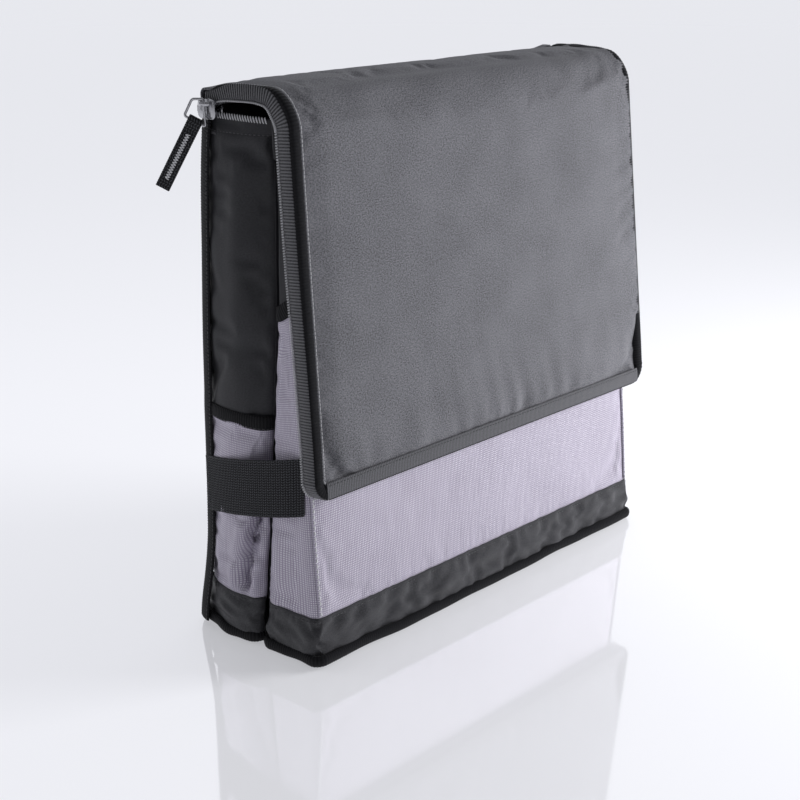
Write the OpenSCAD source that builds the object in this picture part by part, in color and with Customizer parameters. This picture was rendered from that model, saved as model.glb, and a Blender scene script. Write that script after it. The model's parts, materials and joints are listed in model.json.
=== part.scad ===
// Collapsible two-section battery bag: a flat rear section and a wedge-shaped front section
// joined by folded gussets, under a padded zip-round lid that folds down over the front.
// +X is to the bag's right seen from the front, -Y is the front, +Z is up, and z = 0 is the floor.

/* [Body] */
// Half-width of the side fabric at the floor
side_half_w = 172; // [160:1:185]
// Sideways taper of the body toward the top, in degrees
side_lean = 0.66; // [0:0.01:1.5]
// Height of the body's top edge, where the zip is sewn
body_h = 346; // [330:1:350]
// Front face at the floor, measured forward of the origin
front_foot = 56; // [50:1:64]
// Front face at the body's top edge, measured forward of the origin
front_top = 28; // [26:1:34]
// Sideways bulge of the rear section's side
side_bulge = 8; // [6:0.5:9]
// Thickness of the outer fabric with its backing
skin_t = 2.5; // [2:0.1:2.8]
// Thickness of the stiffening boards
board_t = 3; // [2:0.1:3]
// Clearance between neighbouring layers
gap = 0.3; // [0.3:0.05:0.4]

/* [Base] */
// Height of the dark skirt round each foot
skirt_h = 32; // [24:1:40]
// Height of the binding round the bottom edge
base_binding_h = 9; // [7:0.5:12]
// Depth of the folds between the two sections
fold_depth = 35; // [25:1:36]

/* [Pockets] */
// Top of the rear section's side pockets, at their binding
rear_pocket_top = 158; // [150:1:165]
// Top of the front pocket where it meets the gusset
front_pocket_top = 222; // [205:1:228]
// Width of the binding on the pocket edges
pocket_binding_w = 10; // [8:0.5:12]

/* [Lid] */
// Half-width of the lid along its front top fold
lid_half_top = 172; // [168:1:174]
// Half-width of the lid along its bottom edge
lid_half_bottom = 178; // [174:1:182]
// Bottom edge of the lid above the floor
lid_bottom = 110; // [105:1:130]
// Underside of the lid's top part above the floor
lid_underside = 350; // [350:0.5:352]
// Thickness of the padded lid
lid_t = 9; // [8:0.5:10]
// Width of the lid's edge binding
lid_binding_w = 10; // [8:0.5:12]
// Radius of the lid's two bottom corners
lid_corner_r = 14; // [8:1:20]

/* [Straps] */
// Width of the side straps' webbing
strap_w = 38; // [30:1:40]
// Thickness of the side straps' webbing
strap_t = 1.8; // [1.2:0.1:2]
// Height of the strap's lower edge at its rear end
strap_z = 82; // [75:1:90]
// Rise of the strap from its rear end to its front end
strap_rise = 18; // [8:1:22]

/* [Zip] */
// Travel position of the slider's middle, measured back from the origin
slider_y = 28; // [26:1:30]
// Length of the slider
slider_l = 16; // [12:1:16]
// Length of the webbing tab on the slider
tab_l = 46; // [40:1:60]
// Width of the webbing tab
tab_w = 9; // [8:0.1:9.2]
// Radius of the puller's wire
wire_r = 0.8; // [0.6:0.05:0.8]

/* [Hidden] */

// Colours of the materials
lid_black = [0.17, 0.17, 0.18];
side_black = [0.13, 0.13, 0.14];
skirt_black = [0.11, 0.11, 0.12];
binding_black = [0.07, 0.07, 0.08];
lining_grey = [0.32, 0.32, 0.34];
board_grey = [0.5, 0.48, 0.44];
foam_grey = [0.62, 0.62, 0.64];
silver = [0.7, 0.68, 0.74];
chrome = [0.85, 0.85, 0.87];

// Rear face: distance behind the origin at each height
rear_profile = [[0, 50], [60, 48.5], [220, 48], [300, 44], [353, 37]];
// Fold between the two sections: distance behind the origin at each height
crease_profile = [[0, -6], [31, -7], [222, -19], [353, -20]];
front_slope = (front_foot - front_top) / body_h;
side_taper = tan(side_lean);

rear_y = function(z) lookup(z, rear_profile);
crease_y = function(z) lookup(z, crease_profile);
front_y = function(z) -front_foot + front_slope * z;

// The bulged side follows an arc through the side's front and rear edges
arc_mid_y = 14;
arc_half_chord = 33;
arc_r = (arc_half_chord * arc_half_chord + side_bulge * side_bulge) / (2 * side_bulge);
arc_x = side_half_w + 4 - arc_r;

pocket_t = 1.5;
binding_t = 2.5;
liner_t = 1;
base_t = 2;
gusset_t = 0.8;
fold_gap = 1.6;
base_front_edge = -2.5;
base_rear_edge = -9.5;
zip_band_low = 334.5;
zip_x = side_half_w - 0.5;
coil_w = 3;
coil_t = 1.2;
lid_gap = 3.5;
lid_hinge_y = 37.5;
lid_hinge_z = 357;
lid_top_rear = 32;
lid_top_front = -26;
lid_skin_t = 1.2;
strap_r = 147;
strap_mid_y = -4;
strap_x = 32.5;
strap_rear_end = 45.3;
strap_front_end = -41;
patch_low_rise = 5;

// Solid between two outlines in the Y-Z plane, from x = x0 to x = x1
module yz_prism(points, x0, x1) {
    translate([x0, 0, 0])
        rotate([90, 0, 90])
            linear_extrude(x1 - x0) polygon(points);
}

// Points along a wall's line, moved back by off, at the given heights
function wall_line(line, off, heights) = [for (z = heights) [line(z) + off, z]];
function reversed(v) = [for (i = [len(v) - 1:-1:0]) v[i]];

// Upright wall that follows a line in the Y-Z plane, t thick, half_w wide each way at the floor
module wall(line, off, t, heights, half_w) {
    low = min(heights);
    high = max(heights);
    intersection() {
        yz_prism(concat(wall_line(line, off, heights), reversed(wall_line(line, off + t, heights))),
                 -half_w, half_w);
        rotate([90, 0, 0])
            linear_extrude(400, center = true)
                polygon([[-half_w + low * side_taper, low], [half_w - low * side_taper, low],
                         [half_w - high * side_taper, high], [-half_w + high * side_taper, high]]);
    }
}

// Band of the bulged left side between two radii, cut to an outline in the Y-Z plane
module side_band(r0, r1, outline) {
    intersection() {
        rotate([0, side_lean, 0])
            translate([-arc_x, arc_mid_y, -20])
                difference() {
                    cylinder(h = 400, r = r1, $fn = 96);
                    translate([0, 0, -1]) cylinder(h = 402, r = r0, $fn = 96);
                }
        yz_prism(outline, -230, -150);
    }
}

// Flat leaning band of the front section's left side, cut to an outline in the Y-Z plane
module flat_band(x0, x1, outline) {
    intersection() {
        rotate([0, side_lean, 0]) translate([-x1, -80, -20]) cube([x1 - x0, 160, 400]);
        yz_prism(outline, -230, -150);
    }
}

module both_sides() {
    children();
    mirror([1, 0, 0]) children();
}

// Outline between two wall lines, over the given heights
function between(line_a, off_a, line_b, off_b, heights) =
    concat(wall_line(line_a, off_a, heights), reversed(wall_line(line_b, off_b, heights)));

rear_heights = [3, 60, 220, 300, body_h + 6];
side_heights = [3, 31, 60, 220, 222, 300, zip_band_low - gap];

// ---- Rear section ----

module rear_panel() {
    color(side_black) wall(rear_y, -skin_t, skin_t, rear_heights, 166.5);
}

module rear_board() {
    color(board_grey)
        wall(rear_y, -skin_t - gap - board_t, board_t, [8, 60, 220, 300, 336], 160);
}

module rear_liner() {
    back = skin_t + board_t + 2 * gap + liner_t;
    color(lining_grey) wall(rear_y, -back, liner_t, [6, 60, 220, 300, 342], 163);
}

module rear_side_left() {
    color(side_black)
        side_band(arc_r - 2, arc_r, between(crease_y, 2, rear_y, -skin_t - gap, side_heights));
}

module rear_side_right() {
    mirror([1, 0, 0]) rear_side_left();
}

module rear_base() {
    color(skirt_black)
        translate([-side_half_w + 4, base_front_edge, 0])
            cube([2 * side_half_w - 8, 50 - base_front_edge, base_t]);
}

module rear_base_board() {
    color(board_grey) translate([-158, 0, base_t + gap]) cube([316, 40, board_t]);
}

module rear_skirt() {
    heights = [base_t + gap, 31, skirt_h];
    color(skirt_black) {
        both_sides()
            side_band(arc_r + gap, arc_r + gap + 2, between(crease_y, 3, rear_y, gap + 0.1, heights));
        wall(rear_y, gap, 2, heights, 168.2);
    }
}

module rear_base_binding() {
    heights = [0, base_binding_h];
    color(binding_black) {
        both_sides()
            side_band(arc_r + 2.6, arc_r + 2.6 + binding_t, between(crease_y, 4, rear_y, 2.7, heights));
        wall(rear_y, 2.6, binding_t, heights, 169.8);
    }
}

module rear_pocket_left() {
    heights = [skirt_h + gap, 60, rear_pocket_top - pocket_binding_w / 2];
    color(silver)
        side_band(arc_r + gap, arc_r + gap + pocket_t, between(crease_y, 3, rear_y, -10.5, heights));
}

module rear_pocket_right() {
    mirror([1, 0, 0]) rear_pocket_left();
}

module rear_pocket_binding_left() {
    low = rear_pocket_top - pocket_binding_w / 2 + gap;
    color(binding_black)
        side_band(arc_r + gap, arc_r + gap + binding_t,
                  between(crease_y, 3, rear_y, -10.5, [low, rear_pocket_top]));
}

module rear_pocket_binding_right() {
    mirror([1, 0, 0]) rear_pocket_binding_left();
}

module rear_edge_binding_left() {
    heights = [skirt_h + gap, 60, 220, 300, zip_band_low - gap];
    color(binding_black)
        side_band(arc_r + gap, arc_r + gap + 2, between(rear_y, -9.5, rear_y, -0.5, heights));
}

module rear_edge_binding_right() {
    mirror([1, 0, 0]) rear_edge_binding_left();
}

// Rolled seam along the rear top edge that the lid swings on
module hinge_binding() {
    color(binding_black)
        translate([-166, lid_hinge_y, lid_hinge_z])
            rotate([0, 90, 0]) cylinder(h = 332, r = 3, $fn = 32);
}

module rear_zip_tape_left() {
    color(binding_black)
        yz_prism([[crease_y(340) + 1, zip_band_low], [rear_y(zip_band_low) - skin_t - gap, zip_band_low],
                  [rear_y(body_h) - skin_t - gap, body_h], [crease_y(340) + 1, body_h]],
                 -zip_x + 0.2, -zip_x + 1.4);
}

module rear_zip_tape_right() {
    mirror([1, 0, 0]) rear_zip_tape_left();
}

module rear_zip_coil_left() {
    color(side_black)
        translate([-zip_x - coil_t, crease_y(340) + 1, body_h - coil_w])
            cube([coil_t, rear_y(body_h) - skin_t - 2 - crease_y(340), coil_w]);
}

module rear_zip_coil_right() {
    mirror([1, 0, 0]) rear_zip_coil_left();
}

// Hairpin fold of side fabric between the two sections, drawn shut
module side_gusset_left() {
    heights = [fold_depth + 6, 222, zip_band_low - gap];
    half = fold_gap / 2 + gusset_t;
    x0 = -166;
    x1 = x0 + fold_depth;
    color(side_black) {
        yz_prism(between(crease_y, fold_gap / 2, crease_y, half, heights), x0, x1);
        yz_prism(between(crease_y, -half, crease_y, -fold_gap / 2, heights), x0, x1);
        yz_prism(between(crease_y, -half, crease_y, half, heights), x1 - gusset_t, x1);
    }
}

module side_gusset_right() {
    mirror([1, 0, 0]) side_gusset_left();
}

// Inverted fold of base fabric between the two feet
module base_gusset() {
    mid = (base_front_edge + base_rear_edge) / 2;
    mouth = (base_front_edge - base_rear_edge) / 2 - gap;
    top = base_t + fold_depth;
    color(skirt_black)
        yz_prism([[mid - mouth, base_t + gap], [mid - mouth + gusset_t, base_t + gap],
                  [mid, top - 2], [mid + mouth - gusset_t, base_t + gap],
                  [mid + mouth, base_t + gap], [mid + gusset_t, top], [mid - gusset_t, top]],
                 -160, 160);
}

// ---- Front section ----

module front_panel() {
    color(side_black) wall(front_y, 0, skin_t, [3, body_h], 171);
}

module front_board() {
    color(board_grey) wall(front_y, skin_t + gap, board_t, [8, 334], 160);
}

module front_liner() {
    color(lining_grey) wall(front_y, skin_t + 2 * gap + board_t, liner_t, [6, 340], 163);
}

module front_side_left() {
    color(side_black)
        flat_band(side_half_w - 2, side_half_w,
                  between(front_y, skin_t + gap, crease_y, -2, [3, 31, 222, body_h - 1]));
}

module front_side_right() {
    mirror([1, 0, 0]) front_side_left();
}

module front_base() {
    color(skirt_black)
        translate([-side_half_w + 2, -front_foot, 0])
            cube([2 * side_half_w - 4, front_foot + base_rear_edge, base_t]);
}

module front_base_board() {
    color(board_grey)
        translate([-158, -front_foot + 8, base_t + gap]) cube([316, front_foot - 20, board_t]);
}

module front_skirt() {
    heights = [base_t + gap, 31, skirt_h];
    outer = side_half_w + gap + 2;
    color(skirt_black) {
        both_sides()
            flat_band(side_half_w + gap, outer, between(front_y, -gap - 0.1, crease_y, -3, heights));
        wall(front_y, -gap - 2, 2, heights, outer);
    }
}

module front_base_binding() {
    heights = [0, base_binding_h];
    inner = side_half_w + 2 * gap + 2;
    color(binding_black) {
        both_sides()
            flat_band(inner, inner + binding_t, between(front_y, -2.7, crease_y, -4, heights));
        wall(front_y, -2.6 - binding_t, binding_t, heights, inner + binding_t);
    }
}

module front_pocket() {
    edge = side_half_w + gap + pocket_t;
    low = skirt_h + gap;
    rise = front_pocket_top + 8;
    color(silver) {
        both_sides()
            flat_band(side_half_w + gap, edge,
                      [[front_y(low) - gap - 0.1, low], [front_y(rise) - gap - 0.1, rise],
                       [crease_y(front_pocket_top) - 3, front_pocket_top], [crease_y(low) - 3, low]]);
        wall(front_y, -gap - pocket_t, pocket_t, [low, rise], edge);
    }
}

module front_pocket_binding() {
    edge = side_half_w + gap + binding_t;
    low = front_pocket_top + gap;
    step = 8;
    w = pocket_binding_w;
    color(binding_black) {
        both_sides()
            flat_band(side_half_w + gap, edge,
                      [[front_y(low + step) - gap - 0.1, low + step],
                       [front_y(low + step + w) - gap - 0.1, low + step + w],
                       [crease_y(low + w) - 3, low + w], [crease_y(low) - 3, low]]);
        wall(front_y, -gap - pocket_t, pocket_t, [low + step, low + step + w], edge);
    }
}

module front_zip_tape() {
    color(binding_black) wall(front_y, -gap - 0.8, 0.8, [zip_band_low, body_h], 171);
}

module front_zip_coil() {
    color(side_black)
        wall(front_y, -gap - 0.8 - 0.1 - coil_t, coil_t, [body_h - coil_w, body_h], 171);
}

// ---- Lid ----

// Outline of the lid's front part in the X-Z plane, drawn in by inset
function lid_outline(inset, top) =
    let (
        half_top = lid_half_top - inset,
        half_low = lid_half_bottom - inset,
        low = lid_bottom + inset,
        r = max(lid_corner_r - inset, 4),
        right = [for (a = [0:15:90]) [half_low - r + r * cos(a), low + r - r * sin(a)]]
    )
    concat([[half_top, top]], right, [for (p = reversed(right)) [-p[0], p[1]]], [[-half_top, top]]);

// Slab of the lid's front part, between two distances in front of the front face
module lid_slab(near, far, inset, top) {
    intersection() {
        yz_prism(between(front_y, -far, front_y, -near, [lid_bottom - 5, top]), -200, 200);
        rotate([90, 0, 0]) linear_extrude(400, center = true) polygon(lid_outline(inset, top));
    }
}

// Rim of the lid's front part: a slab with its middle left out
module lid_rim(near, far, inset, width, top) {
    difference() {
        lid_slab(near, far, inset, top);
        rotate([90, 0, 0])
            linear_extrude(400, center = true) polygon(lid_outline(inset + width, top + 20));
    }
}

lid_front_high = 346.5;
lid_far = lid_gap + lid_t;

module lid_front_cover() {
    color(lid_black)
        lid_slab(lid_far - lid_skin_t, lid_far, lid_binding_w + gap, lid_front_high);
}

module lid_front_foam() {
    color(foam_grey)
        lid_slab(lid_gap + lid_skin_t + gap, lid_far - lid_skin_t - gap, lid_binding_w + 1,
                 lid_front_high - 1);
}

module lid_front_lining() {
    color(lining_grey)
        lid_slab(lid_gap, lid_gap + lid_skin_t, lid_binding_w + gap, lid_front_high);
}

module lid_front_binding() {
    color(binding_black)
        lid_rim(lid_gap + 0.8, lid_far + 0.3, 0, lid_binding_w, lid_front_high);
}

module lid_front_zip_tape() {
    color(binding_black) lid_rim(lid_gap - 0.2, lid_gap + 0.5, 0, 8, lid_front_high);
}

module lid_front_zip_coil() {
    color(side_black) lid_rim(lid_gap - 1.3, lid_gap - 0.4, 0.5, 3, lid_front_high);
}

lid_top_l = lid_top_rear - lid_top_front;
lid_inner_half = lid_half_top - lid_binding_w;

// Box of the lid's top part, symmetric about the middle
module lid_top_box(half_w, z0, z1) {
    translate([-half_w, lid_top_front, z0]) cube([2 * half_w, lid_top_l, z1 - z0]);
}

module lid_top_cover() {
    z1 = lid_underside + lid_t;
    color(lid_black) lid_top_box(lid_inner_half - gap, z1 - lid_skin_t, z1);
}

module lid_top_foam() {
    inner = lid_skin_t + gap;
    color(foam_grey)
        lid_top_box(lid_inner_half - 1, lid_underside + inner, lid_underside + lid_t - inner);
}

module lid_top_lining() {
    color(lining_grey)
        lid_top_box(lid_inner_half - gap, lid_underside, lid_underside + lid_skin_t);
}

module lid_top_binding() {
    color(binding_black)
        both_sides()
            translate([-lid_half_top, lid_top_front, lid_underside + 1.2])
                cube([lid_binding_w, lid_top_l, lid_t - 1]);
}

module lid_top_zip() {
    color(side_black)
        both_sides()
            translate([-lid_half_top, lid_top_front, lid_underside - 0.2])
                cube([4, lid_top_l, 1.1]);
}

// ---- Zip slider and its puller ----

slider_outer = zip_x + coil_t + 0.5;
slider_plate_t = 3;
slider_low = body_h - 6.5;
slider_roof = body_h + 3.5;
slider_top = body_h + 6.5;
pivot_z = body_h + 3.5;
pivot_out = slider_plate_t + 1.6;
pivot = [-slider_outer - pivot_out, slider_y, pivot_z];
crown_half_w = 1.5;
leg_z = crown_half_w + 0.45 + wire_r;
// The puller leans out and back from the corner, and its tab hangs steeply from the bar
puller_turn = 132;
hang_angle = -62;
bar_reach = 12;
bar_half = 7.2;
bar_mid = bar_reach * [cos(hang_angle), sin(hang_angle)];
bar_dir = [-sin(hang_angle), cos(hang_angle)];

module zip_slider() {
    back = slider_y - slider_l / 2;
    inner = zip_x - 3.2;
    plate = slider_outer + slider_plate_t;
    bow = plate + 4.1;
    color(chrome) {
        // Outer plate, roof over the teeth and inner plate behind the tape
        translate([-plate, back, slider_low])
            cube([slider_plate_t, slider_l, slider_top - slider_low]);
        translate([-plate, back, slider_roof - 2]) cube([plate - inner, slider_l, 2]);
        translate([-inner - 1.4, back, slider_low]) cube([1.4, slider_l, slider_roof - slider_low]);
        // Crown that the puller hangs on
        translate([-bow, slider_y - 5, pivot_z - crown_half_w])
            difference() {
                cube([bow - plate + 0.2, 10, 2 * crown_half_w]);
                translate([1.2, 1.4, -1]) cube([4, 7.2, 2 * crown_half_w + 2]);
            }
    }
}

// Places what is drawn in the puller's own plane (x outward, z up) at the slider's crown
module at_puller() {
    translate(pivot) rotate([0, 0, puller_turn]) children();
}

// Places what is drawn along z at a, pointing at b, in the puller's plane
module along(a, b) {
    d = b - a;
    translate([a[0], 0, a[1]]) rotate([0, 90 - atan2(d[1], d[0]), 0]) children();
}

// Round pin between two points of the puller's plane
module pin(a, b) {
    along(a, b) cylinder(h = norm(b - a), r = wire_r, $fn = 24);
}

// Flattened leg of the loop, a little thicker than the pins that it holds
module leg(a, b) {
    t = 2 * wire_r + 0.2;
    along(a, b)
        translate([-t / 2, -t / 2, -t / 2]) cube([t, t, norm(b - a) + t]);
}

module puller_loop() {
    bar_top = bar_mid + bar_half * bar_dir;
    bar_low = bar_mid - bar_half * bar_dir;
    shoulder = [7, leg_z];
    color(chrome)
        at_puller() {
            leg([0, leg_z], shoulder);
            leg(shoulder, bar_top);
            leg(bar_low, [0, -leg_z]);
            pin([0, -leg_z], [0, leg_z]);
            pin(bar_low, bar_top);
        }
}

module pull_tab() {
    color(binding_black)
        at_puller()
            translate([bar_mid[0], 0, bar_mid[1]])
                rotate([0, -hang_angle, 0])
                    difference() {
                        union() {
                            cylinder(h = tab_w, r = 2.6, center = true, $fn = 32);
                            translate([0, -1.5, -tab_w / 2]) cube([tab_l, 3, tab_w]);
                        }
                        cylinder(h = tab_w + 2, r = wire_r + 0.4, center = true, $fn = 32);
                    }
}

// ---- Side straps ----

// Upright arc of webbing on the left side, cut to an outline in the Y-Z plane
module strap_band(r0, r1, outline) {
    intersection() {
        translate([-strap_x, strap_mid_y, 0])
            difference() {
                cylinder(h = 300, r = r1, $fn = 128);
                translate([0, 0, -1]) cylinder(h = 302, r = r0, $fn = 128);
            }
        yz_prism(outline, -230, -150);
    }
}

// Height of the strap's lower edge at a place along its length
function strap_low(y) =
    strap_z + strap_rise * (strap_rear_end - y) / (strap_rear_end - strap_front_end);

function strap_outline(y0, y1, margin) =
    [[y0, strap_low(y0) + margin], [y1, strap_low(y1) + margin],
     [y1, strap_low(y1) + strap_w - margin], [y0, strap_low(y0) + strap_w - margin]];

module side_strap_left() {
    color(binding_black)
        strap_band(strap_r, strap_r + strap_t, strap_outline(strap_front_end, strap_rear_end, 0));
}

module side_strap_right() {
    mirror([1, 0, 0]) side_strap_left();
}

module hook_patch_left() {
    color(side_black)
        strap_band(strap_r - 2, strap_r - 0.1, strap_outline(-34, -14, patch_low_rise));
}

module hook_patch_right() {
    mirror([1, 0, 0]) hook_patch_left();
}

module loop_patch_left() {
    near = side_half_w + gap + pocket_t + 0.1;
    color(side_black) flat_band(near, near + 1.2, strap_outline(-38, -16, patch_low_rise - 2));
}

module loop_patch_right() {
    mirror([1, 0, 0]) loop_patch_left();
}

rear_panel();
rear_board();
rear_liner();
rear_side_left();
rear_side_right();
rear_base();
rear_base_board();
rear_skirt();
rear_base_binding();
rear_pocket_left();
rear_pocket_right();
rear_pocket_binding_left();
rear_pocket_binding_right();
rear_edge_binding_left();
rear_edge_binding_right();
hinge_binding();
rear_zip_tape_left();
rear_zip_tape_right();
rear_zip_coil_left();
rear_zip_coil_right();
side_gusset_left();
side_gusset_right();
base_gusset();
front_panel();
front_board();
front_liner();
front_side_left();
front_side_right();
front_base();
front_base_board();
front_skirt();
front_base_binding();
front_pocket();
front_pocket_binding();
front_zip_tape();
front_zip_coil();
loop_patch_left();
loop_patch_right();
lid_top_cover();
lid_top_foam();
lid_top_lining();
lid_top_binding();
lid_top_zip();
lid_front_cover();
lid_front_foam();
lid_front_lining();
lid_front_binding();
lid_front_zip_tape();
lid_front_zip_coil();
zip_slider();
puller_loop();
pull_tab();
side_strap_left();
side_strap_right();
hook_patch_left();
hook_patch_right();
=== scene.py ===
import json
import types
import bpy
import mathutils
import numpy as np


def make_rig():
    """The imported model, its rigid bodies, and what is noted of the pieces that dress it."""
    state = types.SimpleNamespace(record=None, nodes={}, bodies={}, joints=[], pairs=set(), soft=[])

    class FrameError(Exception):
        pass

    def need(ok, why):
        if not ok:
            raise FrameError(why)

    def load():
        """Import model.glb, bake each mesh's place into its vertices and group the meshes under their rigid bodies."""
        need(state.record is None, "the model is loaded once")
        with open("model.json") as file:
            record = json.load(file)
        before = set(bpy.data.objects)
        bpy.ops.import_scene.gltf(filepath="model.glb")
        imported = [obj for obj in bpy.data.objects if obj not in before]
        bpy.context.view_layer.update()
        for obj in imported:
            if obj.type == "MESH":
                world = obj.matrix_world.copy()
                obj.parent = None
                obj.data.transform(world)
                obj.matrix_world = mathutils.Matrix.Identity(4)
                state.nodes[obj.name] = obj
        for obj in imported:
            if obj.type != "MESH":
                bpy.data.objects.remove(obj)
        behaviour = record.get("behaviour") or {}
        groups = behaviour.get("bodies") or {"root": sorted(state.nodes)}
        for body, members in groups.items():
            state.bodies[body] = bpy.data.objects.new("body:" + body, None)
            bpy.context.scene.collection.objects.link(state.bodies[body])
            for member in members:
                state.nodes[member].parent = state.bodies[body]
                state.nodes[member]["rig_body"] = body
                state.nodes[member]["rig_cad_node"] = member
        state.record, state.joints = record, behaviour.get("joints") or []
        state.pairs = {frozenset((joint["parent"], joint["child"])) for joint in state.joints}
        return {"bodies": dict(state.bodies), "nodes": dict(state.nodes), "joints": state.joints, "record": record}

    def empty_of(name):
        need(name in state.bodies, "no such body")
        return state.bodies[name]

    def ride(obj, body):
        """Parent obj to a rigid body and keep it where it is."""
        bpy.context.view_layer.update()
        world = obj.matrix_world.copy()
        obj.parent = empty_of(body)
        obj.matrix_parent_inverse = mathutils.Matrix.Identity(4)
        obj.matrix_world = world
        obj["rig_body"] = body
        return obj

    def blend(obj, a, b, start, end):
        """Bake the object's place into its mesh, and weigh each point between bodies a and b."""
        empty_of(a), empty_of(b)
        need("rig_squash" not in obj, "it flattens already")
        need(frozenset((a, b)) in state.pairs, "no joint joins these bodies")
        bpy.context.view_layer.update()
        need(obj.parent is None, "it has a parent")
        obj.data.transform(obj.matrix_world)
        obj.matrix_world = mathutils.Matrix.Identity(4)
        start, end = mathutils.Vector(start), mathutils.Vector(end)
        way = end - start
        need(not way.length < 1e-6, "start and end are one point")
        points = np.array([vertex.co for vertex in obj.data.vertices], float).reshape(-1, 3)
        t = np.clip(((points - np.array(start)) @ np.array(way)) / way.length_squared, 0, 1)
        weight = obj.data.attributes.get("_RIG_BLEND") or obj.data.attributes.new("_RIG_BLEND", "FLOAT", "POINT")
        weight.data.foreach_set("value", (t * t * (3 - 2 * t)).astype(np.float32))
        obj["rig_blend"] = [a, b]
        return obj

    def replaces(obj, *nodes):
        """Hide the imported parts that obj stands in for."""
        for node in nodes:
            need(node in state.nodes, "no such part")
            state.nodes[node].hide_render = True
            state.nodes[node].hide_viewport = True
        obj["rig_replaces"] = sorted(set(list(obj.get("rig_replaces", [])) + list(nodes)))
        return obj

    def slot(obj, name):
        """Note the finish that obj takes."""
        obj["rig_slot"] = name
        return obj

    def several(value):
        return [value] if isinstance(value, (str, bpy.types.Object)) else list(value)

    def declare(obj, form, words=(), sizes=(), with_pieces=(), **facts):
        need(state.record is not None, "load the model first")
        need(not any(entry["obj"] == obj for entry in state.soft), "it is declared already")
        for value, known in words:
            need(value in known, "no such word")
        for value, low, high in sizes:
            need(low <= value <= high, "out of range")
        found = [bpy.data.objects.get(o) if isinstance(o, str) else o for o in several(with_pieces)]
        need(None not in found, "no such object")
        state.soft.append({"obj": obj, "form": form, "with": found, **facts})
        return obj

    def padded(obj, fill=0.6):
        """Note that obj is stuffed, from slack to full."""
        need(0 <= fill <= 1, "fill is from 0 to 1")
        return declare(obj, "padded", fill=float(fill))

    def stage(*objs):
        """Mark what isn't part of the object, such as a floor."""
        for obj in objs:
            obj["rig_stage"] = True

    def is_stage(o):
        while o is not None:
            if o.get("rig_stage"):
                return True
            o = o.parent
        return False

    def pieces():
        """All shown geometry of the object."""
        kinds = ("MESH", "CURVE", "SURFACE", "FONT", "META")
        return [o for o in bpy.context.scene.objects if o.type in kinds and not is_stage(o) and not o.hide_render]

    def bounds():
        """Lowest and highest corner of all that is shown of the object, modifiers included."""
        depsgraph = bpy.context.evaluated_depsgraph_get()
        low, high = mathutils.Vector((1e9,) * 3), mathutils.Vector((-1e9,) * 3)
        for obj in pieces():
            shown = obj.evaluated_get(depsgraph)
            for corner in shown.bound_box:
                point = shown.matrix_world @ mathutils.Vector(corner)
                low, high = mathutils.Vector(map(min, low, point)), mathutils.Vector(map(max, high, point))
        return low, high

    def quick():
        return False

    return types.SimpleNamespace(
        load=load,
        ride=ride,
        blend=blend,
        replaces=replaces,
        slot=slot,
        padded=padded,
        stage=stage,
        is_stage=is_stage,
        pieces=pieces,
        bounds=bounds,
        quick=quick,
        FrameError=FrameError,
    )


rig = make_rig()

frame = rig.load()

import json
import math
import bpy
import bmesh
import numpy as np
from mathutils import Vector

cad_low, cad_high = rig.bounds()
MM = 0.001
FRONT, REAR = "front_section", "rear_section"
SIDES = ((1, "left"), (-1, "right"))

# -------- camera and light

CAMERA_PLACE = (-0.8015, -0.6946, 0.4648)
CAMERA_AZIMUTH, CAMERA_ELEVATION = -47.9, 17.7
CAMERA_LENS, CAMERA_FILM = 70.2, 36.0
ROOM_COLOR = (0.93, 0.945, 1.0, 1.0)
BRIGHT_WAY = (0.74, 0.60, -0.32)
# Name, place, aim, size and power of each lamp
LAMPS = (("key", (0.88, -0.72, 0.42), (0.1, -0.03, 0.2), (0.5, 0.5), 13),
         ("low", (0.62, -0.46, 0.12), (0.15, -0.05, 0.08), (0.22, 0.3), 2.7),
         ("rear", (-0.9, 1.2, 0.45), (-0.15, 0.03, 0.15), (0.9, 0.7), 3.4))


def link(name, data):
    obj = bpy.data.objects.new(name, data)
    bpy.context.scene.collection.objects.link(obj)
    return obj


def make_camera():
    data = bpy.data.cameras.new("camera")
    data.lens, data.sensor_width, data.clip_end = CAMERA_LENS, CAMERA_FILM, 30.0
    cam = link("camera", data)
    cam.location = CAMERA_PLACE
    cam.rotation_euler = (math.radians(90 - CAMERA_ELEVATION), 0.0, math.radians(CAMERA_AZIMUTH))
    bpy.context.scene.camera = cam


def area_light(name, place, target, size, power):
    data = bpy.data.lights.new(name, "AREA")
    data.shape = "RECTANGLE"
    data.size, data.size_y = size
    data.energy = power
    lamp = link(name, data)
    lamp.location = place
    lamp.rotation_euler = (Vector(target) - Vector(place)).to_track_quat("-Z", "Y").to_euler()
    lamp.visible_glossy = False


def map_range(tree, value, low, high, to_low=0.0, to_high=1.0, kind="LINEAR"):
    node = tree.nodes.new("ShaderNodeMapRange")
    node.interpolation_type = kind
    for key, number in (("From Min", low), ("From Max", high), ("To Min", to_low), ("To Max", to_high)):
        node.inputs[key].default_value = number
    tree.links.new(value, node.inputs["Value"])
    return node.outputs[0]


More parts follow.
